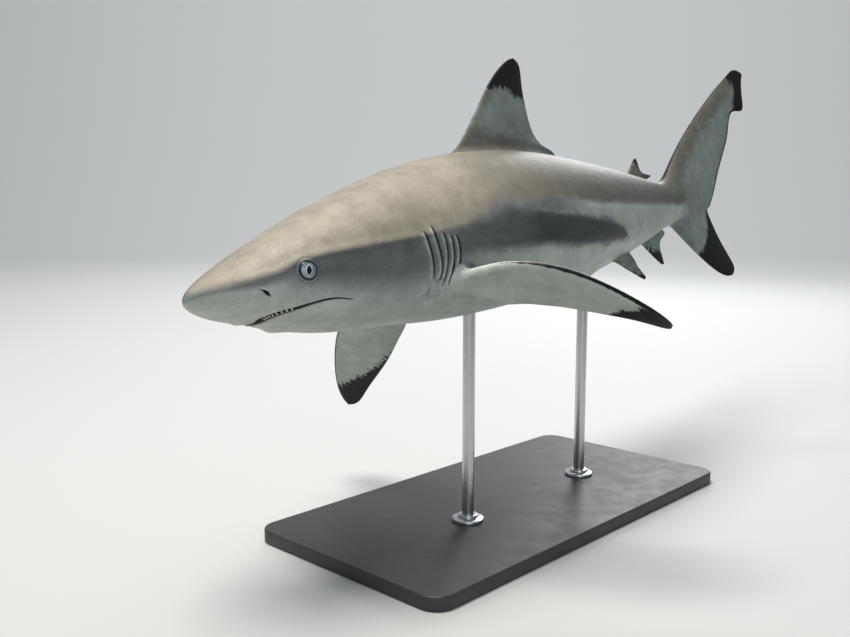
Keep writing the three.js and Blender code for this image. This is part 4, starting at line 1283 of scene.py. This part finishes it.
def ball(radius, sides, rings):
    """Points and faces of a ball about zero, with the faces in an order that never varies."""
    made = bmesh.new()
    bmesh.ops.create_uvsphere(made, u_segments=sides, v_segments=rings, radius=radius)
    points = np.array([tuple(v.co) for v in made.verts])
    faces = []
    for face in made.faces:
        corners = [v.index for v in face.verts]
        lowest = corners.index(min(corners))
        faces.append(tuple(corners[lowest:] + corners[:lowest]))
    made.free()
    return points, sorted(faces)


for word, side in (("left", -1), ("right", 1)):
    at, outward, ahead, up = flank_frame(EYE_X, EYE_Z, side)
    local, faces = ball(EYE_RADIUS, 72, 48)
    lean = math.radians(PUPIL_LEAN)
    forward = ahead * math.cos(lean) + up * math.sin(lean)
    frame_axes = np.stack([forward, up * math.cos(lean) - ahead * math.sin(lean), outward])
    points = at - outward * EYE_SUNK + local @ frame_axes
    eye = add_object(f"eye_ball_{word}", posed(points), faces, iris.material)
    store(eye.data, "eye_place", local)
    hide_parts(f"eye_{word}")
    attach(eye, "root")

# ------------------------------------------------------------------------------------------
# Teeth: small pale enamelled blades along the front of the lower jaw, their roots sunk in its
# gum. They stand at the same distances from the chin on both sides and lean in towards the tip.

TEETH_AT = [15, 21, 27, 33, 39, 45, 51, 57]
TOOTH_TALL, TOOTH_WIDE, TOOTH_THICK = 5.6, 3.3, 1.5
ROOT_BELOW, ROOT_INSIDE, TOOTH_LEAN = 1.2, 2.6, 0.9
TOOTH_SIDES, TOOTH_RINGS = 12, 7
enamel = Nodes("tooth_enamel")
enamel.shader.inputs["Base Color"].default_value = (0.66, 0.63, 0.54, 1)
enamel.shader.inputs["Roughness"].default_value = 0.25
enamel.shader.inputs["Subsurface Weight"].default_value = 0.1
enamel.shader.inputs["Subsurface Radius"].default_value = (0.001, 0.0008, 0.0006)
enamel.link(
    enamel.mix(enamel.noise(enamel.place(), 500), (0.58, 0.54, 0.44), (0.74, 0.72, 0.64)),
    enamel.shader.inputs["Base Color"],
)
chin_at = len(half_mouth) - 1
mouth_pace = running_total(spacing(mouth[chin_at:, :3]))
tooth_points, tooth_faces = [], []
random = np.random.default_rng(7)
for side in (-1, 1):
    for distance in TEETH_AT:
        k = int(np.argmin(np.abs(mouth_pace - distance)))
        at = mouth[chin_at + k, :3] * (1, side, 1)
        _, outward, _, _ = flank_frame(at[0], at[2], side)
        way = (mouth[chin_at + k + 1, :3] - mouth[chin_at + k - 1, :3]) * (1, side, 1)
        way /= np.linalg.norm(way)
        up = np.cross(way, outward)
        up *= np.sign(up[2])
        gap = half_mouth[k, 3]
        foot = at - up * (gap + ROOT_BELOW) - outward * ROOT_INSIDE
        unlike = 1 + 0.08 * random.standard_normal()
        tall = TOOTH_TALL * unlike * min(1, gap / 4.6 + 0.1)
        start = len(tooth_points)
        for ring in range(TOOTH_RINGS):
            share = ring / (TOOTH_RINGS - 1)
            slim = (1 - share) ** 0.8 + 0.04
            for step in range(TOOTH_SIDES):
                turn = 2 * math.pi * step / TOOTH_SIDES
                tooth_points.append(
                    foot + up * tall * share - outward * TOOTH_LEAN * share ** 2
                    + way * math.cos(turn) * TOOTH_WIDE / 2 * slim
                    + outward * math.sin(turn) * TOOTH_THICK / 2 * slim
                )
        for ring in range(TOOTH_RINGS - 1):
            for step in range(TOOTH_SIDES):
                a = start + ring * TOOTH_SIDES + step
                b = start + ring * TOOTH_SIDES + (step + 1) % TOOTH_SIDES
                tooth_faces.append((a, b, b + TOOTH_SIDES, a + TOOTH_SIDES))
        tooth_faces.append(tuple(range(start + TOOTH_SIDES - 1, start - 1, -1)))
        tooth_faces.append(tuple(range(len(tooth_points) - TOOTH_SIDES, len(tooth_points))))
teeth = add_object("teeth", posed(tooth_points), tooth_faces, enamel.material)
store(teeth.data, "straight", np.array(tooth_points) * MM)
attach(teeth, "root")

# ------------------------------------------------------------------------------------------
# Stand: a painted metal base with softened edges, and two brushed steel rods up to the belly,
# each with a turned collar at its foot.

BASE_CORNER, BASE_BEVEL, CORNER_STEPS = 0.026, 0.002, 12
ROD_RADIUS, ROD_BORE, ROD_SIDES, ROD_INTO_BELLY = 0.008, 0.0005, 64, 0.004
# Radius, height above the base.
COLLAR_SECTION = [
    (0.0083, 0.0), (0.0205, 0.0), (0.021, 0.0005), (0.021, 0.0034), (0.0205, 0.0042),
    (0.0195, 0.0045), (0.0138, 0.0045), (0.0131, 0.0049), (0.013, 0.0055), (0.013, 0.0082),
    (0.0126, 0.0088), (0.0120, 0.009), (0.0083, 0.009),
]
base_paint = Nodes("base_paint")
coords = base_paint.add("ShaderNodeTexCoord", {}).outputs["Object"]
base_paint.link(
    base_paint.mix(base_paint.noise(coords, 6, 3), (0.024, 0.026, 0.028), (0.032, 0.034, 0.036)),
    base_paint.shader.inputs["Base Color"],
)
rough = base_paint.ramp(base_paint.noise(coords, 40, 3), 0.3, 0.7, 0.38, 0.48)
base_paint.link(rough, base_paint.shader.inputs["Roughness"])
relief = base_paint.bump(base_paint.noise(coords, 900, 2), 0.00006)
base_paint.link(relief, base_paint.shader.inputs["Normal"])

steel = Nodes("rod_steel")
coords = steel.add("ShaderNodeTexCoord", {}).outputs["Object"]
grain = steel.noise(coords, 60, 3, 0.6, (1, 1, 0.08))
brushed = steel.mix(steel.ramp(grain, 0.3, 0.7), (0.53, 0.54, 0.55), (0.60, 0.61, 0.62))
steel.link(brushed, steel.shader.inputs["Base Color"])
steel.shader.inputs["Metallic"].default_value = 1.0
steel.link(steel.ramp(grain, 0.3, 0.7, 0.26, 0.32), steel.shader.inputs["Roughness"])


def turned(section, middle, foot, sides):
    """Points and faces of a section (radius, height) turned about an upright axis."""
    points, faces, count = [], [], len(section)
    for step in range(sides):
        turn = 2 * math.pi * step / sides
        for radius, height in section:
            x_at = middle.x + radius * math.cos(turn)
            y_at = middle.y + radius * math.sin(turn)
            points.append((x_at, y_at, foot + height))
    for step in range(sides):
        other = (step + 1) % sides
        for k in range(count):
            m = (k + 1) % count
            faces.append((step * count + k, other * count + k, other * count + m, step * count + m))
    return points, faces


# Height of each ring of the base and how far it lies inside the outline.
soft = BASE_BEVEL * 0.3
base_rings = [
    (0.0, BASE_BEVEL), (soft, soft), (BASE_BEVEL, 0.0),
    (base_high.z - BASE_BEVEL, 0.0), (base_high.z - soft, soft), (base_high.z, BASE_BEVEL),
]
x_middle, y_middle = (base_low.x + base_high.x) / 2, (base_low.y + base_high.y) / 2
x_out = (base_high.x - base_low.x) / 2 - BASE_CORNER
y_out = (base_high.y - base_low.y) / 2 - BASE_CORNER
slab = []
for height, inset in base_rings:
    ring = []
    for corner, (sign_x, sign_y) in enumerate(((1, 1), (-1, 1), (-1, -1), (1, -1))):
        for step in range(CORNER_STEPS + 1):
            turn = math.pi / 2 * (corner + step / CORNER_STEPS)
            x_at = x_middle + sign_x * x_out + (BASE_CORNER - inset) * math.cos(turn)
            y_at = y_middle + sign_y * y_out + (BASE_CORNER - inset) * math.sin(turn)
            ring.append((x_at, y_at, height))
    slab.append(ring)
around = len(slab[0])


def stacked(ring_count, around):
    """Faces between rings of points that lie one after another."""
    faces = []
    for ring in range(ring_count - 1):
        this_ring, next_ring = ring * around, (ring + 1) * around
        for k in range(around):
            m = (k + 1) % around
            faces.append((this_ring + k, this_ring + m, next_ring + m, next_ring + k))
    return faces


slab_faces = stacked(len(slab), around)
slab_faces.append(tuple(range(around - 1, -1, -1)))
slab_faces.append(tuple(range((len(slab) - 1) * around, len(slab) * around)))
base = add_object("display_base", [p for ring in slab for p in ring], slab_faces, base_paint.material)
base.data.polygons.foreach_set("use_smooth", [k < len(slab_faces) - 2 for k in range(len(slab_faces))])
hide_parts("stand_base")
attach(base, "root")

for word in ("front", "rear"):
    rod_low, rod_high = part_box(f"stand_rod_{word}")
    middle = (rod_low + rod_high) / 2
    tall = rod_high.z - base_high.z + ROD_INTO_BELLY
    rod_section = [(ROD_BORE, 0.0), (ROD_RADIUS, 0.0), (ROD_RADIUS, tall), (ROD_BORE, tall)]
    points, faces = turned(rod_section, middle, base_high.z, ROD_SIDES)
    rod = add_object(f"display_rod_{word}", points, faces, steel.material)
    points, faces = turned(COLLAR_SECTION, middle, base_high.z, ROD_SIDES)
    collar = add_object(f"display_collar_{word}", points, faces, steel.material)
    for made, node in ((rod, "stand_rod"), (collar, "stand_collar")):
        made.data.set_sharp_from_angle(angle=math.radians(35))
        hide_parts(f"{node}_{word}")
        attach(made, "root")

# ------------------------------------------------------------------------------------------
# Floor and lights: a pale bowl of a floor, a large soft key light from above and in front, a
# fill from the camera's side, a rim light from behind and a lamp on the backdrop.

FLOOR_FLAT, FLOOR_CURVE, FLOOR_SIDES = 5.0, 3.0, 96
plain = Nodes("floor_plain")
plain.shader.inputs["Base Color"].default_value = (0.46, 0.47, 0.475, 1)
plain.shader.inputs["Roughness"].default_value = 0.7
bowl = [(FLOOR_FLAT * k / 4, 0.0) for k in range(1, 5)]
bowl += [
    (FLOOR_FLAT + FLOOR_CURVE * math.sin(t), FLOOR_CURVE * (1 - math.cos(t)))
    for t in np.linspace(0, math.pi / 2, 17)[1:]
]
floor_points = []
for radius, height in bowl:
    for k in range(FLOOR_SIDES):
        turn = 2 * math.pi * k / FLOOR_SIDES
        floor_points.append((radius * math.cos(turn), radius * math.sin(turn), height))
floor_faces = stacked(len(bowl), FLOOR_SIDES)
floor_faces.append(tuple(range(FLOOR_SIDES - 1, -1, -1)))
floor = add_object("floor", floor_points, floor_faces, plain.material)

world = bpy.data.worlds.new("studio")
bpy.context.scene.world = world
world.use_nodes = True
world.node_tree.nodes["Background"].inputs["Color"].default_value = (0.80, 0.84, 0.88, 1)
world.node_tree.nodes["Background"].inputs["Strength"].default_value = 0.4


def soft_light(name, at, aim, size, power, colour):
    """A round lamp of some size, in metres and watts, turned to its aim."""
    data = bpy.data.lights.new(name, "AREA")
    data.shape = "DISK"
    data.size = size
    data.energy = power
    data.color = colour
    lamp = bpy.data.objects.new(name, data)
    lamp.location = at
    lamp.rotation_euler = (Vector(aim) - Vector(at)).to_track_quat("-Z", "Y").to_euler()
    bpy.context.scene.collection.objects.link(lamp)


soft_light("key", (-0.9, 0.3, 3.0), (-0.1, 0, 0.4), 1.4, 120, (1.0, 0.95, 0.88))
soft_light("fill", (-2.4, -2.6, 1.4), (0, 0, 0.4), 2.4, 22, (0.86, 0.94, 1.0))
soft_light("rim", (2.6, 1.2, 1.8), (0.1, 0, 0.4), 1.2, 30, (1.0, 1.0, 1.0))
soft_light("backdrop", (1.5, 1.5, 4.5), (5.5, 4.8, 0.8), 2.5, 300, (1.0, 1.0, 1.0))

bpy.context.view_layer.update()
